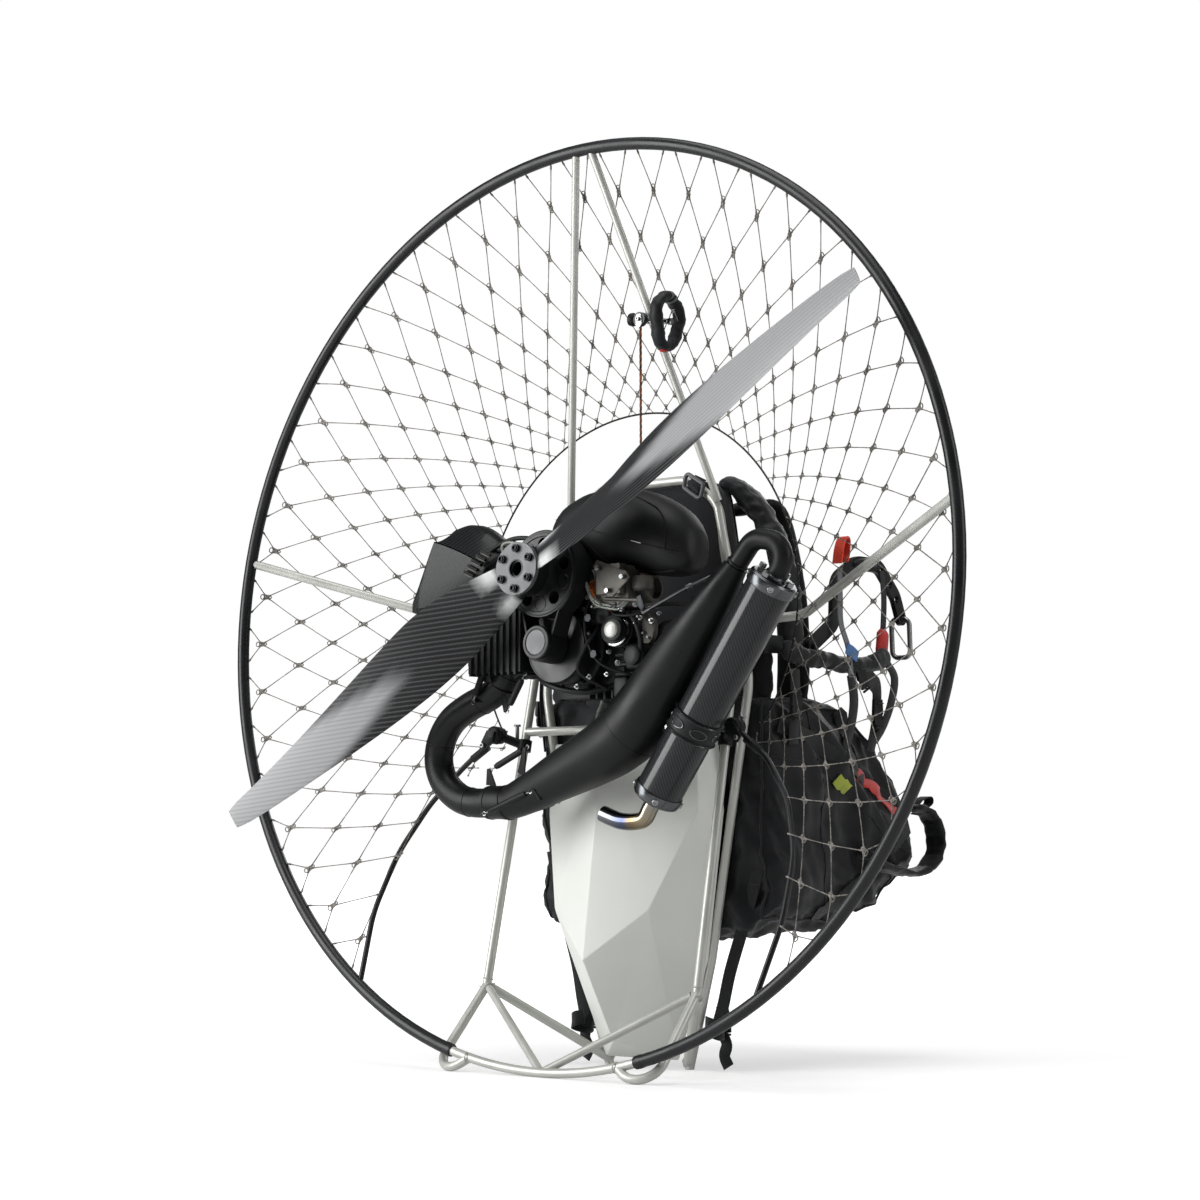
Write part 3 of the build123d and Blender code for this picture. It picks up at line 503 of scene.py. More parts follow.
# Black and grey webbing, woven across: ribs 2.2 mm apart, coarser than the real ones.
WEBBING, webbing_shader = shaded("black_webbing", "#17181A", 0.62, Sheen_Weight=0.2,
    Specular_IOR_Level=0.16)
ribbed(WEBBING, webbing_shader, 2.2, 0.35)
GREY_WEBBING, grey_shader = shaded("grey_webbing", "#5E6164", 0.62, Sheen_Weight=0.2)
ribbed(GREY_WEBBING, grey_shader, 2.2, 0.35)

# Carbon tube of the silencer: fine 1.5 mm tows under gloss resin, a dark, even sheen.
CARBON_TUBE, tube_shader = shaded("filament_wound_carbon", "#1A1B1C", 0.4, Coat_Weight=0.6,
    Coat_Roughness=0.12, Specular_IOR_Level=0.1)
twill(CARBON_TUBE, tube_shader, add(CARBON_TUBE, "UVMap").outputs["UV"], 1.5, "#0B0C0D", "#25272A")
# Carbon hood: 2.2 mm tows of twill under satin resin, its weave just showing.
CARBON_HOOD, hood_shader = shaded("twill_carbon_hood", "#1A1B1C", 0.4, Coat_Weight=0.15,
    Coat_Roughness=0.2, Specular_IOR_Level=0.15)
flat_map = add(CARBON_HOOD, "Mapping", {"Rotation": (math.radians(90), 0, 0),
    "Scale": (1000, 1000, 1000)}, {"Vector": add(CARBON_HOOD, "TexCoord").outputs["Object"]})
twill(CARBON_HOOD, hood_shader, flat_map.outputs["Vector"], 2.2, "#060707", "#202224")

# Carbon blade, lacquered: rows of dark tows, under a grey sprayed patch that fades in outwards.
BLADE, blade_shader = shaded("lacquered_carbon_blade", "#151617", 0.4, Coat_Weight=0.2,
    Coat_Roughness=0.2, Specular_IOR_Level=0.2)
blade_paint = add(BLADE, "Attribute", {"attribute_name": "paint"}).outputs["Vector"]
blade_parts = add(BLADE, "SeparateXYZ", {}, {"Vector": blade_paint})
row_share = add(BLADE, "Math", {"operation": "FRACT"}, {0: blade_parts.outputs["X"]})
tow_share = add(BLADE, "Math", {"operation": "FRACT"}, {0: blade_parts.outputs["Y"]})
tow_step = add(BLADE, "Math", {"operation": "MULTIPLY_ADD", 1: 0.22, 2: -0.11},
    {0: tow_share.outputs[0]})
row_tone = add(BLADE, "Math", {"operation": "ADD", "use_clamp": True},
    {0: row_share.outputs[0], 1: tow_step.outputs[0]})
dark_rows = add(BLADE, "ValToRGB", {}, {"Fac": row_tone.outputs[0]})
grey_rows = add(BLADE, "ValToRGB", {}, {"Fac": row_tone.outputs[0]})
for ramp, low, high in ((dark_rows, "#0A0B0C", "#4E4F51"), (grey_rows, "#9C9D9E", "#868788")):
    ramp.color_ramp.elements[0].color = linear(low)
    ramp.color_ramp.elements[0].position = 0.5
    ramp.color_ramp.elements[1].color = linear(high)
    ramp.color_ramp.elements[1].position = 0.82
    ramp.color_ramp.elements.new(0.98).color = linear(low)
sprayed = add(BLADE, "MixRGB", {}, {"Fac": blade_parts.outputs["Z"],
    "Color1": dark_rows.outputs["Color"], "Color2": grey_rows.outputs["Color"]})
# Painted highlight: a pale band on the blade roots beside the hub stands in for the lamps' glare
# there.
pale = add(BLADE, "Attribute", {"attribute_name": "painted_root_glare"}).outputs["Fac"]
with_painted_glare = add(BLADE, "MixRGB", {"Color2": linear("#CFD0D0")},
    {"Fac": pale, "Color1": sprayed.outputs["Color"]})
row_bump = add(BLADE, "Bump", {"Strength": 0.2, "Distance": 0.08 * MM},
    {"Height": row_tone.outputs[0]})
BLADE.node_tree.links.new(with_painted_glare.outputs["Color"], blade_shader.inputs["Base Color"])
BLADE.node_tree.links.new(row_bump.outputs["Normal"], blade_shader.inputs["Normal"])

# Tail pipe: stainless steel, heat-tinted straw and blue towards its outlet.
TINTED, tinted_shader = shaded("heat_tinted_stainless", "#8E8A84", 0.14, 1.0)
tint_axes = add(TINTED, "SeparateXYZ", {}, {"Vector": add(TINTED, "UVMap").outputs["UV"]})
tint = add(TINTED, "ValToRGB", {}, {"Fac": add(TINTED, "MapRange", {"From Max": 130.0},
    {"Value": tint_axes.outputs["Y"]}).outputs["Result"]})
for place, code in ((0.25, "#8F8470"), (0.4, "#6F6048"), (0.52, "#454C63"), (0.7, "#5F6166")):
    tint.color_ramp.elements.new(place).color = linear(code)
tint.color_ramp.elements[0].color = linear("#8E8C88")
tint.color_ramp.elements[-1].color = linear("#77787A")
TINTED.node_tree.links.new(tint.outputs["Color"], tinted_shader.inputs["Base Color"])

# Twisted polyester net cord: grey brown with dark flecks about 6 mm apart.
NET_CORD = surface("net_cord", "#8C8882", "#47433D", 0.7, grain=1.5, depth=0.2, patch=6)
# Starter rope: near black with brown flecks about 5 mm apart.
STARTER_ROPE = surface("flecked_starter_rope", "#1B1511", "#8A4A24", 0.7, grain=1.5, depth=0.3,
    patch=5)

# ---- Frame and cage: the CAD tubes with their paints ---------------------------------------------
FINISHES = {"hoop_tube": HOOP_COAT, "frame_tube": FRAME_COAT, "rod": HOOP_COAT,
    "hub_plate": ANODISED, "bolt": BLACK_OXIDE, "belt": RUBBER, "pulley": BELL_COAT,
    "engine_case": CASTING, "engine_metal": BARE_CASTING, "arm": BELL_COAT, "clip": ZINC,
    "tank": TANK_PLASTIC, "airbox": AIRBOX_PLASTIC, "carbon": CARBON_TUBE, "exhaust": HEAT_PAINT,
    "silencer_cap": CAP_METAL, "tail_pipe": TINTED, "fabric": NYLON, "webbing": WEBBING,
    "cord": STARTER_ROPE, "blade": BLADE,}
SLOT_OF = {part["node"]: part["material_slot"] for part in frame["record"]["subparts"]}
OWN = {"cylinder": CASTING, "reduction_carrier": CASTING, "carburettor": BARE_CASTING,
    "rod_clamp_left": RUBBER, "rod_clamp_right": RUBBER, "prop_pulley": BELL_COAT,
    "starter_guide": CHROME, "starter_housing": CASTING, "engine_mounts": CASTING,
    "exhaust_hanger": CASTING}
for name, node in frame["nodes"].items():
    finish = OWN.get(name) or FINISHES[SLOT_OF[name]]
    node.data.materials.clear()
    node.data.materials.append(finish)


# ---- Welds: one bead round each joint of the silver frame ----------------------------------------
def bead(centre, axis, radius=7.4, width=1.1):
    """Rippled weld bead round a tube."""
    a = axis.orthogonal().normalized()
    b = axis.cross(a)
    rings = []
    for k in range(36):
        turn = math.tau * k / 36
        out = around(a, b, turn)
        size = width * (0.85 + 0.3 * random.random())
        rings.append([centre + (out * (radius + size * math.cos(math.tau * m / 6)) + axis * size
            * math.sin(math.tau * m / 6)) * MM for m in range(6)])
    return skin("bead", rings, WELD, closed=True)


lower_node = at(206, 61, 124)
welds = []
for towards in (at(197, 178, 672), at(74, 206, 7), on_hoop(180), at(258, 10, 40)):
    lean = (towards - lower_node).normalized()
    welds.append(bead(lower_node + lean * 9 * MM, lean, 7.2))
welds.append(bead(at(193, 171, 517), RIGHT, 7.2))
welds.append(bead(at(76, 204, 12), (lower_node - at(74, 206, 7)).normalized(), 7.2))
welds.append(bead(on_hoop(168.4) + (RIGHT * 5 + BACK * 3) * MM, (RIGHT + BACK * 0.3).normalized(),
    7.6))
welds = joined("welds_right", welds)
give(mirrored(welds, "welds_left"), "root", "frame_tube")
give(welds, "root", "frame_tube")

# ---- Cage net ------------------------------------------------------------------------------------
RING_CENTRE = at(0, 167, 697)
RING_R = 0.314
NET_R = 0.70
LAST_ROW = 8
RING_ROW = 8.5


def net_angle(column, row):
    """Angle from the top of a column of knots. Columns stand a little wider apart low down."""
    return math.copysign(6.22 * abs(column) + 0.0213 * column ** 2, column) - 1.6 - 0.2 * row


def net_radius(row, angle):
    """Radius of a row of knots. The meshes shrink towards the ring, faster at the top."""
    outer = 0.634 + 0.037 * abs(math.sin(math.radians(0.88 * angle))) ** 3
    shrink = 0.845 + 0.05 * math.sin(math.radians(angle)) ** 2
    return RING_R + (outer - RING_R) * (1 - (1 - shrink ** row) / (1 - shrink ** RING_ROW))


def smooth(low, high, value):
    share = max(0.0, min(1.0, (value - low) / (high - low)))
    return share * share * (3 - 2 * share)


# The net passes on the pilot's side of four spars. Each has its start and end, how many
# millimetres the net clears it by, and the way the net is pushed there.
KNEE_X, KNEE_Y, KNEE_Z = 297, 205, 680
SHOULDER_X, SHOULDER_Y, SHOULDER_Z = 148, 192, 862
SIDE_CLEAR, TOP_CLEAR = 10, 9
TOP_PUSH = (-0.63, 0.74, 0.25)
SPARS = [(on_hoop(-81.6), at(-KNEE_X, KNEE_Y, KNEE_Z), SIDE_CLEAR, (-0.72, 0.69, 0.08)),
         (on_hoop(81.6), at(KNEE_X, KNEE_Y, KNEE_Z), SIDE_CLEAR, (-0.55, 0.83, 0.10)),
         (on_hoop(-1.15), at(-SHOULDER_X, SHOULDER_Y, SHOULDER_Z), TOP_CLEAR, TOP_PUSH),
         (on_hoop(1.15), at(SHOULDER_X, SHOULDER_Y, SHOULDER_Z), TOP_CLEAR, TOP_PUSH)]


def cone_centre(radius):
    """Middle of the net's cone where it has this radius."""
    return HOOP_CENTRE.lerp(RING_CENTRE, (NET_R - radius) / (NET_R - RING_R))


def on_net(radius, angle):
    """Point of the net's cone between the hoop and the inner ring, pushed clear of the spars."""
    turn = math.radians(angle)
    point = cone_centre(radius) + (RIGHT * math.sin(turn) + UP * math.cos(turn)) * radius
    for start, end, clear, way in SPARS:
        way = Vector(way).normalized()
        near, on_spar = intersect_line_line(point, point + way, start, end)
        share = (on_spar - start).dot(end - start) / (end - start).length_squared
        away = start.lerp(end, min(max(share, 0), 1)) - HOOP_CENTRE
        depth = away.dot(FORWARD)
        cone = (cone_centre((away - FORWARD * depth).length) - HOOP_CENTRE).dot(FORWARD)
        push = max(depth + clear * MM - cone, 0) / way.dot(FORWARD)
        reach = 1 - smooth(0.045, 0.13, (near - on_spar).length)
        point = point + way * push * reach * smooth(0, 0.08, share) * (1 - smooth(0.75, 1, share))
    return point


def edge_angle(radius):
    """Where the net ends at the side rods."""
    stops = [(0.305, 129.3), (0.462, 130.4), (0.618, 139.7), (0.71, 147.4)]
    for (r0, a0), (r1, a1) in zip(stops, stops[1:]):
        if radius <= r1:
            return a0 + (a1 - a0) * (radius - r0) / (r1 - r0)
    return stops[-1][1]


def thread(start, end, size):
    """Net cord between two knots, doubled in thickness where it runs into them."""
    length = (end - start).length
    ahead = (end - start).normalized()
    side = ahead.orthogonal().normalized()
    other = ahead.cross(side)
    fat = min(9 * MM / length, 0.2)
    points = []
    for share, swell in ((0, 1.1), (fat * 0.5, 1.9), (fat, 1), (1 - fat, 1), (1 - fat * 0.5, 1.9),
            (1, 1.1)):
        middle = start.lerp(end, share)
        for k in range(5):
            turn = math.tau * k / 5 + share * 2
            points.append(middle + around(side, other, turn) * size * swell)
    faces = [(5 * i + j, 5 * i + (j + 1) % 5, 5 * i + 5 + (j + 1) % 5, 5 * i + 5 + j)
        for i in range(5) for j in range(5)]
    return points, faces


def eyelet(centre, along, across, reach, wide, wire, corners=10):
    """Small ring of cord at a knot."""
    normal = along.cross(across).normalized()
    points = []
    for k in range(corners):
        turn = math.tau * k / corners
        out = along * math.cos(turn) * reach + across * math.sin(turn) * wide
        way = out.normalized()
        for m in range(5):
            roll = math.tau * m / 5
            points.append(centre + out + around(way, normal, roll) * wire)
    faces = [(5 * k + m, 5 * k + (m + 1) % 5, 5 * ((k + 1) % corners) + (m + 1) % 5,
        5 * ((k + 1) % corners) + m) for k in range(corners) for m in range(5)]
    return points, faces


def gathered(name, parts, material, body, slot_name):
    """One mesh from many small ones."""
    vertices, faces = [], []
    for points, sides in parts:
        faces += [tuple(len(vertices) + k for k in side) for side in sides]
        vertices += points
    mesh = bpy.data.meshes.new(name)
    mesh.from_pydata(vertices, [], faces)
    return give(shown(name, mesh, material, 60), body, slot_name)


def knot_place(row, half_column):
    angle = net_angle(half_column / 2, row)
    return net_radius(row, angle), angle


def inside(place):
    return abs(place[1]) <= edge_angle(place[0])


def cut_at_rod(kept, lost):
    """Place between two where the cord meets a side rod."""
    low, high = 0.0, 1.0
    for _ in range(12):
        middle = (low + high) / 2
        trial = [kept[i] + (lost[i] - kept[i]) * middle for i in (0, 1)]
        low, high = (middle, high) if inside(trial) else (low, middle)
    return tuple(kept[i] + (lost[i] - kept[i]) * low for i in (0, 1))


cords, knots = [], []
for row in range(LAST_ROW + 1):
    share = row / LAST_ROW
    wire = (1.0 - 0.3 * share) * MM
    for half_column in range(-46 + row % 2, 47, 2):
        place = knot_place(row, half_column)
        here = on_net(*place)
        if inside(place):
            outward = (on_net(place[0] + 0.01, place[1]) - here).normalized()
            sideways = (on_net(place[0], place[1] + 0.5) - here).normalized()
            size = (3.7 - 1.9 * share) * MM
            knots.append(eyelet(here, outward, sideways, size, size * 0.9, wire * 1.1))
            knots.append(eyelet(here + outward * size * 1.9, outward, sideways, size * 0.8,
                size * 1.1, wire * 0.9))
            knots.append(eyelet(here - outward * size * 1.7, outward, sideways, size * 0.6,
                size * 0.5, wire))
        step = 0.5 if row == LAST_ROW else 1
        below = RING_ROW if row == LAST_ROW else row + 1
        for way in (-step, step):
            ends = [place, knot_place(below, half_column + way)]
            kept = [end for end in ends if inside(end)]
            if not kept:
                continue
            if len(kept) == 1:
                lost = ends[1] if kept[0] is ends[0] else ends[0]
                ends = [kept[0], cut_at_rod(kept[0], lost)]
            cords.append(thread(on_net(*ends[0]), on_net(*ends[1]), wire))
        if row == 0 and inside(place):
            for way in (-0.7, 0.7):
                angle = net_angle((half_column + way) / 2, 0)
                top = on_net(NET_R - 0.0085, angle)
                cords.append(thread(here, top, wire))
gathered("net_cords", cords, NET_CORD, "root", "cord")
gathered("net_knots", knots, NET_CORD, "root", "cord")
ring_line = [on_net(RING_R, -125.3 + 250.6 * k / 120) for k in range(121)]
ring_line = [at(-250, 155, 520)] + ring_line + [at(250, 155, 520)]
give(pipe("net_ring", ring_line, 1.5 * MM, RUBBER, 8), "root", "cord")

# ---- Propeller -----------------------------------------------------------------------------------
PROP_TURN = math.radians(57.8)
BLADE_STATIONS = [(10, 50, 26, 0), (34, 62, 24, 0), (80, 80, 21, 2), (130, 97, 16, 4),
    (200, 108, 12, 4), (290, 103, 9.5, 1), (400, 87, 7.5, -1), (520, 66, 5.5, -1),
    (620, 49, 4.2, 1), (693, 36, 3.0, 5)]
BLADE_PITCH = 850.0
BLADE_BACK = 88.0
BLADE_RAKE = 11.0


def station_at(radius):
    """Chord, thickness and trail of the blade, smooth between its stations."""
    for i, (low, high_r) in enumerate(zip(BLADE_STATIONS, BLADE_STATIONS[1:])):
        if radius <= high_r[0]:
            share = (radius - low[0]) / (high_r[0] - low[0])
            before = BLADE_STATIONS[max(i - 1, 0)]
            after = BLADE_STATIONS[min(i + 2, len(BLADE_STATIONS) - 1)]
            found = []
            for k in (1, 2, 3):
                slope_a = (high_r[k] - before[k]) / (high_r[0] - before[0])
                slope_b = (after[k] - low[k]) / (after[0] - low[0])
                span = high_r[0] - low[0]
                s = share
                found.append((2 * s ** 3 - 3 * s * s + 1) * low[k] + (s ** 3 - 2 * s * s + s)
                    * span * slope_a + (3 * s * s - 2 * s ** 3) * high_r[k] + (s ** 3 - s * s)
                    * span * slope_b)
            return found
    return BLADE_STATIONS[-1][1:]


SECTION = [(-1.0, 0.0), (-0.94, 0.17), (-0.8, 0.36), (-0.6, 0.52), (-0.36, 0.61), (-0.1, 0.6),
    (0.18, 0.52), (0.45, 0.39), (0.7, 0.24), (0.9, 0.09), (1.0, 0.0), (0.9, -0.08), (0.7, -0.19),
    (0.45, -0.29), (0.18, -0.36), (-0.1, -0.38), (-0.36, -0.37), (-0.6, -0.33), (-0.8, -0.26),
    (-0.94, -0.14)]


def blade_ring(radius, turn):
    chord, thick, trail = station_at(radius)
    pitch = math.atan(BLADE_PITCH / (math.tau * max(radius, 190)))
    tip = max(0.0, (radius - 660) / 33)
    chord *= 1 - 0.16 * tip ** 2
    ring = []
    for u, v in SECTION:
        a, b = u * chord / 2, v * thick
        x = trail + a * math.cos(pitch) + b * math.sin(pitch)
        back = BLADE_RAKE * radius / 693 + a * math.sin(pitch) - b * math.cos(pitch)
        spin_x = x * math.cos(turn) + radius * math.sin(turn)
        spin_y = -x * math.sin(turn) + radius * math.cos(turn)
        ring.append(behind(HUB, BLADE_BACK + back, spin_x, spin_y))
    return ring


def painted_blade(turn, level_rows):
    """One blade, with its grey patch, a painted highlight by the hub and rows of tows 6 mm apart,
    coarser than the real ones.
    """
    radii = [14, 24, 34, 44, 56, 70, 86, 104, 124] + list(range(140, 690, 8)) + [689, 693]
    piece = skin("blade", [blade_ring(radius, turn) for radius in radii], BLADE, sharp=50)
    paint, painted_root_glare = [], []
    start = 160 if not level_rows else 225
    count = len(SECTION)
    for k, vertex in enumerate(piece.data.vertices):
        radius = radii[k // count]
        off = SECTION[k % count][0]
        chord = station_at(radius)[0]
        away = vertex.co - HUB
        if level_rows:
            row = (away.dot(UP) - 0.12 * away.dot(RIGHT)) / MM / 6.5
        else:
            row = off * chord / 2 / 6.0
        grey = smooth(start + abs(off) * 210, start + 90 + abs(off) * 210, radius)
        paint += [row, radius / 2.4 + off * 9, grey]
        # Where the painted highlight lies: on the root near the hub, towards the section's edges.
        near = smooth(36, 44, radius) * (1 - smooth(58, 80, radius))
        painted_root_glare.append(near * smooth(0.25, 0.6, abs(off)))
    piece.data.attributes.new("paint", "FLOAT_VECTOR", "POINT").data.foreach_set("vector", paint)
    piece.data.attributes.new("painted_root_glare", "FLOAT", "POINT").data.foreach_set("value", painted_root_glare)
    return piece


pieces = [painted_blade(PROP_TURN, False), painted_blade(PROP_TURN + math.pi, True)]
half = 13.0
barrel = [(14.2, -half), (36.5, -half), (38, -half + 1.5), (38, half - 1.5), (36.5, half),
    (14.2, half), (14.2, half - 6), (14.2, -half)]
pieces.append(turned("barrel", barrel, behind(HUB, BLADE_BACK), BACK, BLADE, 64, caps=False))
assembled("carbon_blades", pieces, "propeller", "blade", "propeller_blades")

# ---- Fuel tank -----------------------------------------------------------------------------------
TANK_TOP = 496.0
TANK_FACE = 188.7
NOSE, CROWN, KEEL = (0, 46, 167), (0, 92, TANK_TOP), (0, 118, 43)
SIDE = {"cheek": (92, 89, 242), "hip": (148, 140, 391), "brow": (140, 146, TANK_TOP),
    "heel": (72, TANK_FACE, 14), "shin": (129, TANK_FACE, 166), "thigh": (160, TANK_FACE, 391),
    "ear": (150, TANK_FACE, TANK_TOP)}
TANK_FACES = [("crown", "nose", "cheek"), ("crown", "cheek", "hip"), ("crown", "hip", "brow"),
    ("nose", "keel", "cheek"), ("keel", "heel", "cheek"), ("cheek", "heel", "shin"),
    ("cheek", "shin", "hip"), ("hip", "shin", "thigh"), ("hip", "thigh", "ear"),
    ("hip", "ear", "brow")]


def faceted_tank():
    """Moulded tank: flat facets whose edges are rounded, with a filler cap on top."""
    shape = bmesh.new()
    found = {}

    def corner(name, side):
        fixed = {"nose": NOSE, "crown": CROWN, "keel": KEEL}
        key = name if name in fixed else (name, side)
        if key not in found:
            x, y, z = fixed.get(name) or SIDE[name]
            found[key] = shape.verts.new(at(x if name in fixed else x * side, y, z))
        return found[key]

    for side in (1, -1):
        for face in TANK_FACES:
            shape.faces.new([corner(name, side) for name in face][::side])
    shape.faces.new([corner("keel", 1), corner("heel", -1), corner("heel", 1)])
    shape.faces.new([corner("crown", 1), corner("brow", 1), corner("ear", 1), corner("ear", -1),
        corner("brow", -1)])
    rim = [corner(name, 1) for name in ("heel", "shin", "thigh", "ear")]
    shape.faces.new(rim[::-1] + [corner(name, -1) for name in ("heel", "shin", "thigh", "ear")])
    bmesh.ops.recalc_face_normals(shape, faces=shape.faces)
    bmesh.ops.bevel(shape, geom=list(shape.edges), offset=2.2 * MM, segments=3, profile=0.6,
        affect="EDGES")
    mesh = bpy.data.meshes.new("tank")
    shape.to_mesh(mesh)
    shape.free()
    return shown("tank", mesh, TANK_PLASTIC, 12)


give(faceted_tank(), "root", "tank", "fuel_tank")
cap_centre = at(104, 165, TANK_TOP)
cap_profile = [(27, 0), (27, 5), (25, 6), (25, 13), (23, 15.5), (8, 16.5)]
give(turned("tank_cap", cap_profile, cap_centre, UPRIGHT, AIRBOX_PLASTIC), "root", "engine_case")
pipe_line = curve(many((-60, 150, TANK_TOP + 2), (-60, 150, 512), (-48, 140, 540), (-10, 110, 568),
    (30, 60, 600), (66, 26, 650), (92, 4, 690)), 6)
give(pipe("fuel_hose", pipe_line, 3.4 * MM, FUEL_LINE, 12), "root", "engine_case")

# ---- Airbox: an egg-shaped shell of two mouldings ------------------------------------------------
AIRBOX_STATIONS = [(-46, 806, 790, 10), (-34, 832, 770, 30), (-10, 853, 758, 43),
    (30, 868, 751, 50), (75, 872, 747, 52), (120, 867, 741, 52), (155, 857, 735, 52),
    (185, 842, 731, 50), (208, 826, 731, 44), (224, 808, 737, 33), (233, 788, 748, 16)]
AIRBOX_Y = 40.0
ROUND = 2.35


def airbox_station(x):
    for a, b in zip(AIRBOX_STATIONS, AIRBOX_STATIONS[1:]):
        if x <= b[0]:
            share = (x - a[0]) / (b[0] - a[0])
            return [a[k] + (b[k] - a[k]) * share for k in (1, 2, 3)]
    return AIRBOX_STATIONS[-1][1:]


def on_airbox(x, z, off=0.4):
    """Point on the airbox's skin, on the propeller's side."""
    top, low, deep = airbox_station(x)
    up = min(abs((2 * z - top - low) / (top - low)), 0.995)
    return at(x, AIRBOX_Y - deep * (1 - up ** ROUND) ** (1 / ROUND) - off, z)


rings = []
stations_x = [AIRBOX_STATIONS[0]] + [(x, *airbox_station(x)) for x in range(-38, 232,
    9)] + [AIRBOX_STATIONS[-1]]
for x, top, low, deep in stations_x:
    ring = []
    for k in range(56):
        turn = math.tau * k / 56
        a, b, size = squircle(turn, ROUND)
        ring.append(at(x, AIRBOX_Y + a * size * deep, (top + low) / 2 + b * size * (top - low) / 2))
    rings.append(ring)
airbox = skin("airbox_shell", rings, AIRBOX_PLASTIC, sharp=70)
relaxed = airbox.modifiers.new("smooth", "SMOOTH")
relaxed.iterations = 6
relaxed.factor = 0.5
with bpy.context.temp_override(object=airbox, active_object=airbox):
    bpy.ops.object.modifier_apply(modifier="smooth")
seams = []
for name, path, size in (("seam", [(x, 814 - 0.278 * (x - 33)) for x in range(-20, 226, 8)], 0.7),
        ("crease", [(88, 868), (130, 855), (160, 842), (184, 828), (199, 808), (202, 787),
        (200, 766)], 1.1), ("lip", [(14, 806), (32, 802), (50, 793), (64, 779), (77, 765),
        (95, 751), (118, 744), (145, 741), (176, 737), (205, 738)], 1.4)):
    line = curve([on_airbox(x, z) for x, z in path], 5)
    seams.append(pipe(name, line, size * MM, AIRBOX_PLASTIC, 8))
# Painted highlights: two short bright zinc strips laid on the seam where it catches the light.
for x in (60, 152):
    lower = [on_airbox(x + dx, 814 - 0.278 * (x + dx - 33), 0.9) for dx in (-9, 0, 9)]
    seams.append(pipe("painted_seam_highlight", lower, 0.8 * MM, ZINC, 6))
assembled("airbox_shell", [airbox] + seams, "root", "airbox", "airbox")

# ---- Carbon hood over the cylinder ---------------------------------------------------------------
HOOD = [(-292, 700), (-272, 736), (-252, 772), (-238, 794), (-226, 811), (-209, 827), (-193, 832),
    (-176, 833), (-160, 829), (-144, 822), (-124, 809), (-106, 794), (-98, 784), (-96, 768),
    (-104, 748), (-124, 728), (-150, 712), (-200, 702), (-250, 698)]
RIDGE = [(-224, 806), (-196, 797), (-163, 784), (-134, 770), (-118, 760)]


def near_ridge(x, z):
    best = None
    for (x0, z0), (x1, z1) in zip(RIDGE, RIDGE[1:]):
        run = Vector((x1 - x0, z1 - z0))
        share = max(0.0, min(1.0, ((x - x0) * run.x + (z - z0) * run.y) / run.length_squared))
        spot = Vector((x0, z0)) + run * share
        far = (spot - Vector((x, z))).length
        if best is None or far < best[0]:
            best = (far, spot)
    return best[1]


hood_line = curve([Vector((x, 0, z)) for x, z in HOOD], 4, closed=True)
middle_x, middle_z = -185, 765


def hood_ring(y, size, towards=0.0, top_ahead=0.0, drop=0.0):
    ring = []
    for point in hood_line:
        x = middle_x + (point.x - middle_x) * size
        z = middle_z - drop + (point.z - middle_z) * size
        ridge = near_ridge(x, z)
        x, z = x + (ridge.x - x) * towards, z + (ridge.y - z) * towards
        high = max(0.0, min(1.0, (point.z - 760) / 40))
        ring.append(at(x, y + top_ahead * high, z))
    return ring


hood_rings = [hood_ring(90, 0.62, 0, 0, 28), hood_ring(90, 0.66, 0, 0, 28),
    hood_ring(50, 0.8, 0, 8, 14), hood_ring(12, 0.93, 0, 14, 4), hood_ring(-8, 0.985, 0, 18),
    hood_ring(-24, 0.975, 0, 16), hood_ring(-31, 0.94, 0.05, 13), hood_ring(-36, 0.9, 0.3, 9),
    hood_ring(-40, 0.9, 0.6, 5), hood_ring(-43, 0.9, 0.85, 2), hood_ring(-44, 0.9, 0.985, 0)]
hood = skin("carbon_hood", hood_rings, CARBON_HOOD, caps=False, sharp=28)
inner = skin("hood_lining", [hood_ring(88, 0.6, 0, 0, 28), hood_ring(0, 0.93, 0, 14, 3),
    hood_ring(-26, 0.9, 0.1, 12), hood_ring(-38, 0.88, 0.95, 2)], CARBON_HOOD, caps=False)
louvres = []
for k, (x, z) in enumerate([(-150, 748), (-143, 756.5), (-135, 764.5), (-126, 771.5),
        (-116, 777.5)]):
    low, far = at(x - 9, -45.5, z + 4), at(x + 10, -45.5, z - 4.5)
    louvres.append(pipe("slot", [low, (low + far) / 2 + at(0, -1.5, 0) - at(0, 0, 0), far],
        [1.0 * MM, 1.5 * MM, 1.0 * MM], BARE_CASTING, 8))
    louvres.append(pipe("gap", [low + Vector((0, 0.6, 3.2)) * MM, far + Vector((0, 0.6, 3.2))
        * MM], 2.2 * MM, RUBBER, 8))
assembled("carbon_hood", [hood, inner] + louvres, "root", "carbon", "cooling_scoop")

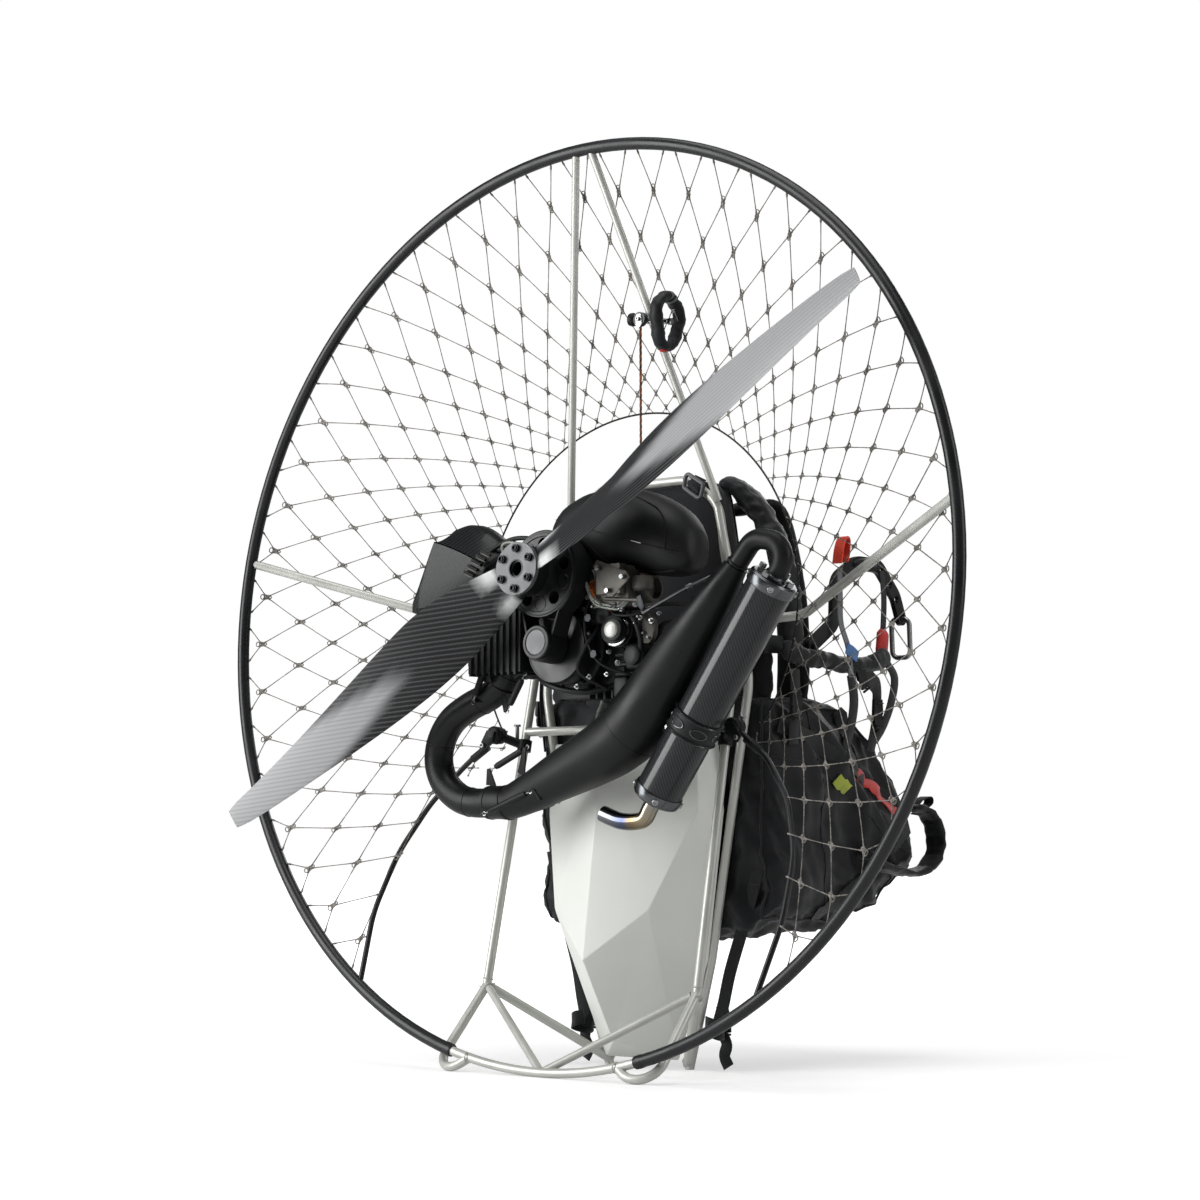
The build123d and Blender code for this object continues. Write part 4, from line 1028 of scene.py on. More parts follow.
# ---- Belt drive and hub details ------------------------------------------------------------------
rim = turned("pulley_rim", [(56.5, 0), (57.5, 1.2), (61.5, 1.2), (62.6, 0)], behind(HUB, 50.2),
    BACK, BELL_COAT, 72, caps=False)
spokes = []
for k in range(5):
    turn = math.tau * (k + 0.5) / 5
    spot = on_circle(HUB, 50, 45, turn)
    spokes.append(turned("pulley_hole", [(11.5, 0), (10.8, 0.9), (9.6, 0.9), (9.4, -1)], spot,
        BACK, BELL_COAT, 24, caps=False))
assembled("big_pulley_rim", [rim] + spokes, "propeller", "pulley")
ring = turned("hub_ring", [(14.4, 0.2), (14.2, 1.4), (12.2, 1.4), (12, -3), (10.5, -3.4),
    (10, -8)], behind(HUB, 101 + 6), BACK, BELL_COAT, 48, caps=False)
heads = [ring]
for k in range(6):
    turn = math.tau * k / 6
    spot = on_circle(HUB, 101 + 7, 30, turn)
    heads.append(turned("washer", [(5.8, 0), (5.8, 0.9), (5.4, 1.2), (4.6, 1.2)], spot, BACK,
        BLACK_OXIDE, 28))
    heads.append(turned("knurl", [(4.7, 1.4), (4.7, 6.0), (4.2, 6.8), (3.2, 6.8), (2.9, 6.0),
        (2.7, 4.0)], spot, BACK, BLACK_OXIDE, 28))
assembled("hub_bolt_heads", heads, "propeller", "bolt")
cap = turned("small_pulley_cap", [(25.6, 0), (25.6, 2.2), (24.2, 3.8), (20.5, 3.8), (19.6, 2.6),
    (19.0, 2.6), (6, 2.8)], behind(CRANK, 53), BACK, BELL_COAT, 56, sharp=25)
face = turned("cap_face", [(18.4, 0), (18.0, 0.6), (5, 0.9)], behind(CRANK, 55.8), BACK, ANODISED,
    48)
bell_rim = turned("bell_rim", [(55.4, -1.5), (55.4, 0.2), (54.6, 0.9), (53.2, 0.9)],
    behind(CRANK, 9.5), BACK, BELL_COAT, 72, caps=False)
assembled("clutch_cap", [cap, face, bell_rim], "clutch", "pulley")
# Fan of dark ribs inside the carrier, seen past the belt.
carrier = []
for k in range(9):
    turn = math.radians(-66 + 132 * k / 8)
    a = on_circle(HUB, 4, 30, turn)
    b = on_circle(HUB, 4, 60, turn)
    carrier.append(pipe("carrier_rib", [a, b], [4 * MM, 2.4 * MM], CASTING, 8))
carrier.append(pipe("carrier_arc", [on_circle(HUB, 4, 61, math.radians(d)) for d in range(-80, 81,
    8)], 2.4 * MM, CASTING, 8))
for x, z in ((-30, 690), (30, 690), (-36, 664), (37, 664), (-22, 720), (23, 721)):
    carrier.append(screw(at(x, 10 - 0.0674 * (z - 737), z), BACK, 4.6, 5, ZINC, socket=False))
assembled("carrier_ribs", carrier, "root", "engine_metal")

# ---- Engine dressing -----------------------------------------------------------------------------
metal = []
black = []
# Intake flange with its three screws.
metal.append(plate("intake_flange", [at(x, -29, z) for x, z in [(84, 748), (90, 757), (146, 738),
    (153, 728), (148, 722), (121, 701), (112, 702)]], 4, BARE_CASTING, 1.0))
for x, z in ((96, 744), (143, 729), (115, 710)):
    metal.append(screw(at(x, -32, z), BACK, 4.4, 4.2, ZINC, socket=False))
# Carburettor: bowl, choke tube, spindle and its lever.
metal.append(turned("float_bowl", [(17, -20), (17, -3), (15, 0), (13, 2)], at(150, 6, 712), PLUMB,
    BARE_CASTING, 36))
metal.append(turned("choke_tube", [(21, 0), (21, 14), (18.5, 16), (16, 16), (15, 4)],
    at(140, 28, 716), RIGHT, BARE_CASTING, 40))
metal.append(pipe("spindle", many((100, -18, 700), (168, -18, 694)), 3 * MM, BARE_CASTING, 12))
metal.append(plate("throttle_lever", [at(x, -21, z) for x,
    z in [(160, 700), (168, 702), (176, 684), (170, 678), (162, 686)]], 2.5, BLACK_OXIDE, 0.6))
# Starter cord's lead, throttle cable and its ferrules.
cable = curve(many((166, -16, 676), (196, 0, 694), (226, 16, 712), (262, 40, 731), (292, 62, 745)),
    6)
metal.append(pipe("cable_sheath", cable, 2.3 * MM, ZINC, 12))
metal.append(turned("ferrule", [(3.6, 0), (3.6, 12), (2.6, 15)], at(166, -16, 676),
    (cable[4] - cable[0]).normalized(), ZINC, 20))
metal.append(turned("ferrule_end", [(4.2, 0), (4.2, 8), (3, 10)], at(224, 15, 711),
    (cable[-1] - cable[0]).normalized(), ZINC, 20))
# Half-round silver cover beyond the isolator.
cover = [at(140 + 24 * math.cos(math.radians(d)), 26, 656 + 27 * math.sin(math.radians(d)))
    for d in range(-88, 89, 16)]
metal.append(plate("half_cover", cover, 10, BARE_CASTING, 1.4))
# Fittings, nuts and studs scattered along the crankcase and the intake.
for x, y, z, size, length in ((70, -8, 692, 4, 9), (58, -10, 704, 3.5, 8), (98, -14, 690, 3.4, 14),
        (120, -20, 690, 4.6, 10), (131, -16, 681, 3.2, 12), (150, -10, 690, 5, 8),
        (160, -8, 668, 4.4, 10), (148, -4, 664, 3.6, 9), (172, 2, 664, 5.2, 8),
        (157, 2, 648, 4, 8), (166, 2, 640, 3.5, 6), (180, 10, 676, 3.6, 9), (60, -10, 650, 4.4, 5),
        (96, -6, 622, 4.2, 5), (110, -2, 606, 4.6, 6), (88, 0, 590, 4, 6), (58, -4, 588, 4.6, 6),
        (34, -4, 574, 4.6, 6), (130, 6, 628, 4, 7), (140, 8, 612, 3.8, 6)):
    axis = (BACK + RIGHT * random.uniform(-0.4, 0.7) + UP * random.uniform(-0.3, 0.4)).normalized()
    metal.append(screw(at(x, y, z), axis, size, length * 0.5,
        random.choice((ZINC, BARE_CASTING, ZINC)), socket=False))
    metal.append(turned("stud", [(size * 0.5, 0), (size * 0.5, length), (size * 0.3, length + 1)],
        at(x, y, z), axis, ZINC, 14))
assembled("engine_fittings", metal, "root", "engine_metal")

# Upper mount: two bolts in the black plate, white bush, rubber isolator between bright rings.
mount = [screw(at(68, -16.5, 673), BACK, 7.2, 6, BLACK_OXIDE, socket=False),
    screw(at(79, -16.5, 619), BACK, 7.2, 6, BLACK_OXIDE, socket=False),
    turned("mount_edge", [(17.5, 0), (17.5, 3), (16, 4), (13.5, 4)], at(112, -16, 654), BACK,
    CASTING, 44)]
bush = turned("bush", [(12.4, 0), (12.4, 1.6), (10.8, 3.8), (6, 5.4), (2, 5.8)], at(112, -20, 654),
    BACK, FRAME_COAT, 40)
mount.append(bush)
for y, size, finish in ((-7, 21.5, RUBBER), (-1, 24.5, CHROME), (3, 23, RUBBER),
        (9, 25.5, CASTING), (15, 22, RUBBER)):
    profile = [(size - 3, -2.2), (size, -1.2), (size, 1.2), (size - 3, 2.2)]
    mount.append(turned("isolator_ring", profile, at(104, y, 655), BACK, finish, 48))
assembled("upper_mount", mount, "root", "engine_case")

# Ignition windings: enamelled copper coils on an iron frame.
coils = []
for row in range(2):
    start = at(56 + row * 26, 4 - row * 4, 722 - row * 14)
    axis = (RIGHT * 0.75 - UP * 0.66).normalized()
    a = axis.orthogonal().normalized()
    b = axis.cross(a)
    line = []
    for k in range(12 * 9):
        turn = math.tau * k / 12
        line.append(start + axis * (k * 0.24 * MM) + around(a, b, turn) * 11 * MM)
    coils.append(pipe("winding", line, 1.25 * MM, COPPER, 8))
    coils.append(turned("core", [(10, -3), (10, 28), (6, 29)], start, axis, GASKET, 24))
assembled("ignition_windings", coils, "root", "engine_metal")

# Hoses, leads and loom over the crankcase.
leads = []
for offset in (0, 4.4):
    leads.append(pipe("pulse_line", curve(many((54, -16, 738 - offset), (66, -22, 724 - offset),
        (76, -24, 706 - offset), (88, -24, 695 - offset), (106, -22, 690 - offset),
        (128, -20, 688 - offset), (140, -14, 700 - offset)), 6), 1.9 * MM, FUEL_LINE, 10))
leads.append(pipe("plug_lead", curve(many((-180, -6, 668), (-204, -28, 676), (-196, -28, 724),
    (-144, -27, 772), (-92, -27, 797), (-50, -26, 800), (-4, -22, 786), (30, -10, 748)), 7),
    3.6 * MM, RUBBER, 12))
leads.append(pipe("spark_boot", curve(many((-196, 10, 650), (-208, -8, 660), (-204, -28, 676)), 6),
    [7 * MM] * 8 + [5 * MM] * 5, RUBBER, 16))
leads.append(pipe("grey_hose", curve(many((-92, -22, 770), (-97, -27, 790), (-84, -27, 796),
    (-63, -27, 790), (-44, -26, 776)), 7), 3.4 * MM, FUEL_LINE, 12))
for points, size in (([(46, 30, 690), (70, 0, 660), (60, -18, 630), (44, -14, 596), (70, 20, 570)],
        3.2), ([(96, 0, 690), (112, -10, 676), (150, -4, 676), (176, 20, 690), (206, 90, 690)],
        2.6), ([(60, -8, 700), (56, -14, 676), (62, -16, 640), (84, -12, 606), (120, 10, 590),
        (160, 60, 580)], 2.2), ([(128, 0, 680), (150, -8, 660), (152, 0, 630), (130, 20, 600),
        (90, 40, 570)], 4.0), ([(-40, 60, 612), (-60, 20, 596), (-20, 0, 576), (40, 10, 566),
        (90, 40, 580)], 4.6)):
    leads.append(pipe("loom", curve(many(*points), 7), size * MM, RUBBER, 12))
assembled("hoses_and_leads", leads, "root", "engine_case")

# Cast ribs, covers and bolts that break up the black crankcase.
for k in range(7):
    z = 588 + 14 * k
    black.append(block("case_rib", at(92, 12, z), at(126, 64, z + 5), CASTING, 1.4))
for k in range(6):
    x = 24 + 15 * k
    black.append(block("sump_rib", at(x, 30, 556), at(x + 5, 100, 578), CASTING, 1.4))
black.append(turned("case_cover", [(64, 0), (64, 5), (60, 8), (30, 9), (28, 12), (12, 13)],
    behind(CRANK, -30), BACK, CASTING, 64, sharp=25))
for k in range(8):
    turn = math.tau * (k + 0.3) / 8
    black.append(screw(on_circle(CRANK, -23, 58, turn), BACK, 4.4, 5, BLACK_OXIDE))
black.append(block("reed_block", at(52, 0, 664), at(92, 50, 704), CASTING, 5))
black.append(block("pump_body", at(118, 2, 596), at(154, 44, 634), CASTING, 6))
black.append(turned("pump_face", [(15, 0), (15, 4), (12, 6), (4, 6)], at(136, 1, 616), BACK,
    CASTING, 32))
black.append(turned("side_cover", [(30, 0), (30, 6), (27, 9), (10, 10)], at(154, 60, 640), RIGHT,
    CASTING, 44))
black.append(block("lower_lug", at(84, 16, 556), at(112, 46, 588), CASTING, 5))
assembled("case_castings", black, "root", "engine_case")

# ---- Exhaust -------------------------------------------------------------------------------------
def in_plane(*pairs, y=20):
    return [at(x, y, z) for x, z in pairs]


elbow_line = curve(in_plane((-120, 610), (-135, 587), (-164, 568), (-205, 553), (-243, 532),
    (-266, 502), (-272, 468), (-259, 436), (-230, 413), (-196, 404), (-150, 404)), 5)
elbow = [pipe("bend", elbow_line, 22.5 * MM, HEAT_PAINT, 40)]
header_lean = (elbow_line[0] - elbow_line[1]).normalized()
for shift, size, deep, finish in ((2, 29, 5, CASTING), (8, 26, 2.2, COPPER), (11, 28, 2.6, GASKET),
        (-4, 25.5, 4, CASTING), (-14, 24, 3, HEAT_PAINT), (-34, 23.6, 2, HEAT_PAINT)):
    profile = [(size - 1.5, -deep / 2), (size, -deep / 2 + 0.8), (size, deep / 2 - 0.8),
        (size - 1.5, deep / 2)]
    elbow.append(turned("flange", profile, elbow_line[0] + header_lean * shift * MM, header_lean,
        finish, 44))
for i in (12, 26, 44):
    place = elbow_line[i]
    way = (elbow_line[i + 1] - elbow_line[i - 1]).normalized()
    elbow.append(turned("weld_line", [(22.4, -1.4), (23.2, -0.5), (23.2, 0.5), (22.4, 1.4)], place,
        way, HEAT_PAINT, 44, caps=False))
assembled("exhaust_bend", elbow, "root", "exhaust", "exhaust_elbow")

top = at(381, 20, 717)
foot = at(161, 20, 405)
DOWN = (foot - top).normalized()
knee = at(115, 20, 507)
cone_end = at(317, 20, 744)
lead = (cone_end - knee).normalized()
body_line = curve(in_plane((-165, 404), (-140, 404), (-118, 405), (-70, 422), (-22, 442),
    (30, 463), (78, 484), (115, 507), (146, 538), (180, 579), (215, 622), (250, 664), (285, 706),
    (312, 738)), 4)
sizes = [25.5, 25.5, 26.5, 31, 36.5, 42, 46.5, 49, 48, 44, 39, 33, 25.5, 17.5]
radii = []
for a, b in zip(sizes, sizes[1:]):
    radii += [(a + (b - a) * k / 4) * MM for k in range(4)]
chamber = [pipe("chamber", body_line, radii + [17.5 * MM], HEAT_PAINT, 56)]
over = bent([cone_end - lead * 8 * MM, cone_end + lead * 42 * MM, top - DOWN * 56 * MM,
    top + DOWN * 2 * MM], [0.027, 0.027], 14)
chamber.append(pipe("return_bend", over, 15 * MM, HEAT_PAINT, 36))
for place, way, size in ((cone_end - lead * 4 * MM, lead, 16.8), (top - DOWN * 5 * MM, DOWN, 16.6),
        (body_line[1], RIGHT, 26.4), (body_line[7], (body_line[8] - body_line[6]).normalized(),
        27.4), (knee, (body_line[30] - body_line[26]).normalized(), 49.3)):
    chamber.append(turned("weld", [(size - 0.9, -1.7), (size, -0.6), (size, 0.6),
        (size - 0.9, 1.7)], place, way, HEAT_PAINT, 56, caps=False))
# Hanger lugs on the chamber.
for x, y, z, size in ((222, -14, 618, 13), (262, 20, 690, 9)):
    chamber.append(plate("lug", [at(x + dx * size, y, z + dz * size) for dx,
        dz in ((-1, -0.4), (-0.3, 1), (0.6, 0.9), (1, -0.2), (0.2, -1))], 3, HEAT_PAINT, 0.8))


def hook_spring(start, end, body_r=5.0):
    """Pull spring in a black sleeve, with a bright hook at each end."""
    ahead = (end - start).normalized()
    a, b = start + ahead * 13 * MM, end - ahead * 13 * MM
    sleeve = pipe("sleeve", [a, a.lerp(b, 0.1), a.lerp(b, 0.9), b],
        [4 * MM, body_r * MM, body_r * MM, 4 * MM], RUBBER, 20)
    side = ahead.cross(BACK).normalized()
    found = [sleeve]
    for point, way in ((start, ahead), (end, -ahead)):
        line = [point + way * 14 * MM, point + way * 6 * MM, point + (side * 3 + way * 2) * MM,
            point - way * 1.5 * MM, point + (side * -3 + way * 2) * MM,
            point + (way * 5 + side * -2) * MM]
        found.append(pipe("hook", curve(line, 5), 1.1 * MM, ZINC, 8))
    return found


def tab(base, tip, width, lean=BACK):
    """Triangular spring tab."""
    way = (tip - base).normalized()
    side = way.cross(lean).normalized()
    corners = [base + side * width * MM, tip + side * 3 * MM, tip - side * 3 * MM,
        base - side * width * MM]
    return plate("tab", corners, 2.6, HEAT_PAINT, 0.6)


for start, end in (((-149, -6, 617), (-175, -8, 556)), ((-72, -2, 600), (-107, -6, 540)),
        ((-66, -2, 487), (-141, -6, 452)), ((-52, -10, 420), (-150, -10, 386)),
        ((-46, 48, 406), (-140, 50, 384))):
    chamber += hook_spring(at(*start), at(*end))
for base, tip, width in (((-86, 6, 446), (-68, -6, 486), 8), ((-142, 0, 430), (-140, -8, 455), 10),
        ((-50, -2, 410), (-46, -12, 424), 12), ((-150, 2, 400), (-154, -10, 384), 10),
        ((-150, 0, 588), (-147, -8, 620), 9), ((-96, 0, 600), (-70, -4, 604), 9),
        ((-170, 0, 562), (-176, -10, 556), 9), ((-112, 0, 556), (-106, -8, 540), 8)):
    chamber.append(tab(at(*base), at(*tip), width))
assembled("expansion_chamber", chamber, "root", "exhaust", "exhaust_chamber")

LENGTH = (foot - top).length / MM
silencer = turned("silencer_tube", [(35, 16)] + [(35, 16 + (LENGTH - 32) * k / 12)
    for k in range(1, 13)], top, DOWN, CARBON_TUBE, 72)
give(silencer, "root", "carbon", "silencer_body")
caps = []
for shift, way in ((0, 1), (LENGTH, -1)):
    profile = [(15, -1), (26, 0), (33, 0.6), (36.2, 3.2), (37, 6), (37, 17), (36.4, 18.4),
        (35.2, 18.6)]
    caps.append(turned("cap", profile, top + DOWN * shift * MM, DOWN * way, CAP_METAL, 72,
        sharp=24))
    across_axis = DOWN.cross(AHEAD).normalized()
    for k in range(4):
        turn = math.tau * (k + 0.42) / 4
        out = around(across_axis, AHEAD, turn)
        caps.append(screw(top + DOWN * (shift + way * 10) * MM + out * 36.4 * MM, out, 4.6, 3.0,
            ZINC))
        if way > 0:
            turn = math.tau * (k + 0.05) / 4
            out = around(across_axis, AHEAD, turn)
            caps.append(screw(top + out * 27 * MM - DOWN * 0.0005, -DOWN, 5.4, 7, ZINC,
                socket=False))
    caps.append(turned("boss", [(19, 0.5), (18, -3), (16, -4.5), (15.2, -4.5)], top + DOWN * shift
        * MM, DOWN * way, CAP_METAL, 44, caps=False))
assembled("silencer_ends", caps, "root", "silencer_cap", "silencer_caps")
band = [turned("band", [(35.2, 234), (38.6, 234.6), (39.6, 236.4), (38.6, 238.4), (37.2, 239),
    (37.2, 263), (38.6, 263.8), (39.6, 266), (38.6, 268.2), (35.2, 269)], top, DOWN, CASTING, 72,
    caps=False, sharp=30)]
for place in (236.4, 266):
    band.append(turned("band_bead", [(39.4, -1), (40.1, 0), (39.4, 1)], top + DOWN * place * MM,
        DOWN, CAP_METAL, 72, caps=False))
for k in range(6):
    turn = math.tau * (k + 0.35) / 6
    out = around(across_axis, AHEAD, turn)
    along = DOWN.cross(out)
    oval = []
    for m in range(20):
        roll = math.tau * m / 20
        swing = math.radians(20) * math.cos(roll)
        spin = Matrix.Rotation(swing, 3, DOWN) @ out
        oval.append(top + DOWN * (251 + 6.5 * math.sin(roll)) * MM + spin * 37.5 * MM)
    band.append(pipe("slot_edge", oval, 1.1 * MM, CAP_METAL, 8, closed=True))
middle = top + DOWN * 252 * MM
band.append(pipe("stay", [middle.lerp(knee, 0.32), middle.lerp(knee, 0.62)], 7 * MM, CASTING, 20))
band.append(screw(middle.lerp(knee, 0.36) - Vector((0, 0.007, 0)), BACK, 5, 4, ZINC, socket=False))
assembled("silencer_band", band, "root", "engine_case", "silencer_clamp")
tail_line = curve([foot, foot + DOWN * 16 * MM, foot + DOWN * 34 * MM, at(122, 20, 373),
    at(98, 20, 374), at(80, 20, 379), at(63, 20, 385)], 6)
tail = pipe("tail_outlet", tail_line, 12.5 * MM, TINTED, 44, caps=False, inner=9)
collar = turned("tail_collar", [(18, 0), (18, 3), (15, 5), (12.6, 6)], foot, DOWN, CAP_METAL, 44)
assembled("tail_outlet", [tail, collar], "root", "tail_pipe", "tail_pipe")

# ---- Rod clamps, starter and small fittings on the frame -----------------------------------------
for side, name in SIDES:
    place = beside(side)
    clamp = []
    knob = place(236, 110, 512)
    ridged = []
    for k in range(60):
        turn = math.tau * k / 60
        size = 14.2 if k % 2 else 13.2
        ridged.append((math.cos(turn) * size, math.sin(turn) * size))
    rings = [[knob + (RIGHT * a * scale + UP * b * scale + BACK * deep) * MM for a, b in ridged]
        for scale, deep in ((0.8, -9), (1, -7), (1, -3), (0.86, -2.2), (0.86, -0.6), (1, 0.2),
        (1, 5), (0.8, 7))]
    clamp.append(skin("knob", rings, RUBBER, sharp=50))
    clamp.append(screw(knob + BACK * 7 * MM, BACK, 4.6, 4, BLACK_OXIDE))
    clamp.append(plate("link", [place(x, 99, z) for x, z in ((228, 518), (244, 520), (258, 498),
        (252, 488), (232, 500))][::side], 3.4, CASTING, 1))
    clamp.append(screw(place(251, 98, 496), BACK, 4, 4, ZINC))
    clamp.append(turned("upright_bolt", [(3, 0), (3, 20), (5.6, 20.5), (5.6, 23), (4.6, 24)],
        place(224, 150, 506), UPRIGHT, ZINC, 20))
    clamp.append(turned("rod_socket", [(6.4, 0), (6.4, 34), (5.2, 36)], place(256, 116, 494),
        (place(298, 110, 466) - place(256, 116, 494)).normalized(), CASTING, 24))
    assembled("clamp_knob_" + name, clamp, "root", "engine_case")
    # Hoop sleeve: a short black collar over the end of the silver arc.
    collar_line = [on_hoop(side * angle) for angle in (164.1, 164.6, 165.1)]
    give(pipe("hoop_collar_" + name, collar_line, [9.9 * MM, 10.2 * MM, 9.8 * MM], HOOP_COAT, 24,
        caps=False), "root", "hoop_tube")

SPAR_TOP, SPAR_LOW = SPARS[3][:2]
share = (1134 * MM - SPAR_TOP.z) / (SPAR_LOW.z - SPAR_TOP.z)
GUIDE = SPAR_TOP.lerp(SPAR_LOW, share)


def by_guide(x, y, z):
    return GUIDE + Vector((x, y, z)) * MM


pin_a, pin_b = by_guide(-24, -15.3, 6), by_guide(43, -7.3, -4)
pin_way = (pin_b - pin_a).normalized()
guide = [turned("chrome_pin", [(3.4, 0), (4.4, 1), (4.4, 12), (3.8, 13), (3.8, 17), (5.6, 18),
    (5.6, 26), (4.4, 27), (4.4, 60), (5.4, 61), (5.4, 66), (4.2, 67.5)], pin_a, pin_way, CHROME,
    32, sharp=25), turned("pin_knob", [(4, 6), (7, 4), (9.5, 0), (10.6, -4), (9.6, -9), (6, -11.5),
    (2, -12)], pin_a, pin_way, RUBBER, 32),
    turned("clip_band", [(6.3, -8), (7.4, -7), (7.4, 7), (6.3, 8)], GUIDE,
    (SPAR_LOW - SPAR_TOP).normalized(), CHROME, 36, caps=False)]
wheel = by_guide(-8.7, -21.3, 4)
guide.append(turned("sheave", [(11, -4), (11, -2.6), (8.4, 0), (11, 2.6), (11, 4), (4, 4.4)],
    wheel, AHEAD, BELL_COAT, 32))
guide.append(plate("shackle", [wheel + Vector((x, -5.5, z)) * MM for x,
    z in ((-5, 8), (5, 8), (7, -8), (0, -15), (-7, -8))], 2, ZINC, 0.5))
guide.append(screw(wheel + Vector((0, -7, 0)) * MM, Vector((0, -1, 0)), 3.4, 2.4, ZINC))
assembled("starter_pin", guide, "root", "bolt", "starter_guide")

drum = CRANK + Vector((40, 142.8, 33.4)) * MM
cord_end = wheel.lerp(drum, 0.985)
strands = []
ahead = (drum - wheel).normalized()
a = ahead.orthogonal().normalized()
b = ahead.cross(a)
for strand in range(3):
    line = []
    steps = 150
    for k in range(steps + 1):
        turn = math.tau * (k / 9 + strand / 3)
        line.append(wheel.lerp(cord_end, k / steps) + around(a, b, turn) * 0.95 * MM)
    strands.append(pipe("strand", line, 1.15 * MM, STARTER_ROPE, 6))
assembled("starter_rope", strands, "root", "cord", "starter_cord")

# Padded loop handle: a flat tube of cloth with a light stripe and a red tag.
HANDLE_CENTRE = pin_a.lerp(pin_b, 0.86) + Vector((-4, 4, 2)) * MM
loop_line = []
for k in range(48):
    turn = math.tau * k / 48
    swell = 1 + 0.07 * math.sin(3 * turn + 0.6) + 0.04 * math.sin(5 * turn)
    loop_line.append(HANDLE_CENTRE + Vector((0.16 * math.sin(turn) * 8, math.cos(turn) * 27
        * swell, math.sin(turn) * 39 * swell)) * MM)
rings = []
for i, (point, way, _, _) in enumerate(stations(loop_line, closed=True)):
    wide = (RIGHT - way * RIGHT.dot(way)).normalized()
    out = way.cross(wide)
    turn = math.tau * i / 48
    ring = []
    for k in range(20):
        roll = math.tau * k / 20
        crease = 1 + 0.06 * math.sin(9 * turn + 2 * roll) + 0.05 * math.sin(17 * turn)
        ring.append(point + (wide * math.cos(roll) * 11.5 + out * math.sin(roll) * 7.6) * crease
            * MM)
    rings.append(ring)
handle = skin("loop_handle", rings, NYLON, closed=True, sharp=70)
stripes = [handle]
for start in (9, 12):
    rings = []
    for i in range(start, start + 2):
        points = [vertex.co.copy() for vertex in handle.data.vertices[i * 20:i * 20 + 20]]
        centre = sum(points, Vector()) / 20
        rings.append([centre + (point - centre) * 1.035 for point in points])
    stripes.append(skin("stripe", rings, GREY_WEBBING, caps=False))
stripes.append(block("red_tag", HANDLE_CENTRE + Vector((-6, -12, -49)) * MM,
    HANDLE_CENTRE + Vector((3, -2, -41)) * MM, RED_CLOTH, 2))
handle = assembled("loop_handle", stripes, "root", "fabric", "starter_handle")

# Buckle and strap on the top bar.
buckle = []
corners = many((93, 184, 909), (126, 184, 888), (119, 184, 865), (87, 184, 887))
start = (corners[0] + corners[1]) / 2
line = bent([start] + corners[1:] + [corners[0], start], [0.005] * 4, 5)
buckle.append(pipe("frame", line[:-1], 3.4 * MM, ANODISED, closed=True))
buckle.append(strap("webbing", curve(many((98, 196, 880), (104, 186, 884), (112, 180, 890),
    (116, 190, 900)), 6), 22 * MM, 2 * MM, WEBBING, across=Vector((0.8, 0, -0.5))))
assembled("top_bar_buckle", buckle, "root", "clip")


# ---- Harness: seat bag, backrest, padding and straps ---------------------------------------------
CLOTH_FRAMES = 20


def filled(piece, voxel, pressure=4.0, reach=0.012, pinned=None):
    """Remeshes a padded piece and lets cloth swell it, held at its seams; the result is kept."""
    remesh = piece.modifiers.new("remesh", "REMESH")
    remesh.mode = "VOXEL"
    remesh.voxel_size = voxel
    with bpy.context.temp_override(object=piece, active_object=piece):
        bpy.ops.object.modifier_apply(modifier="remesh")
    mesh = piece.data
    for polygon in mesh.polygons:
        polygon.use_smooth = True
    before = [vertex.co.copy() for vertex in mesh.vertices]
    cloth = piece.modifiers.new("cloth", "CLOTH")
    cloth.settings.quality = 4
    cloth.settings.mass = 0.25
    cloth.settings.tension_stiffness = 8
    cloth.settings.compression_stiffness = 8
    cloth.settings.bending_stiffness = 0.15
    cloth.settings.use_pressure = True
    cloth.settings.uniform_pressure_force = pressure
    cloth.settings.effector_weights.gravity = 0.0
    if pinned:
        group = piece.vertex_groups.new(name="seams")
        group.add([k for k, point in enumerate(before) if pinned(point)], 1.0, "REPLACE")
        cloth.settings.vertex_group_mass = "seams"
    cloth.point_cache.frame_end = CLOTH_FRAMES
    for number in range(1, CLOTH_FRAMES + 1):
        bpy.context.scene.frame_set(number)
    graph = bpy.context.evaluated_depsgraph_get()
    after = [vertex.co.copy() for vertex in piece.evaluated_get(graph).data.vertices]
    piece.modifiers.remove(cloth)
    piece.vertex_groups.clear()
    for vertex, old, new in zip(mesh.vertices, before, after):
        move = new - old
        vertex.co = old + move * min(1.0, reach / max(move.length, 1e-9))
    bpy.context.scene.frame_set(1)
    return piece


def creased(piece, deep, across, along, seed=0.0):
    """Sharp folds that run in one direction, as on thin cloth under a pull; sizes in metres."""
    way = along.normalized()
    normals = [vertex.normal.copy() for vertex in piece.data.vertices]
    for vertex, normal in zip(piece.data.vertices, normals):
        run = way * vertex.co.dot(way)
        place = (vertex.co - run) / across + run / (across * 3.4) + Vector((seed, seed * 2, 0))
        fold = 1 - abs(noise.noise(place)) * 2.6
        small = noise.noise(place * 2.7) * 0.35
        vertex.co += normal * deep * (fold * 0.6 + small - 0.35)
    return piece


def surface_of(piece):
    mesh = piece.data
    return BVHTree.FromPolygons([vertex.co for vertex in mesh.vertices],
        [tuple(polygon.vertices) for polygon in mesh.polygons])


def laid(tree, points, off):
    """The points moved onto a surface, a little off it, with its normals."""
    found, normals = [], []
    for point in points:
        spot, normal, _, _ = tree.find_nearest(point)
        found.append(spot + normal * off * MM)
        normals.append(normal)
    return found, normals


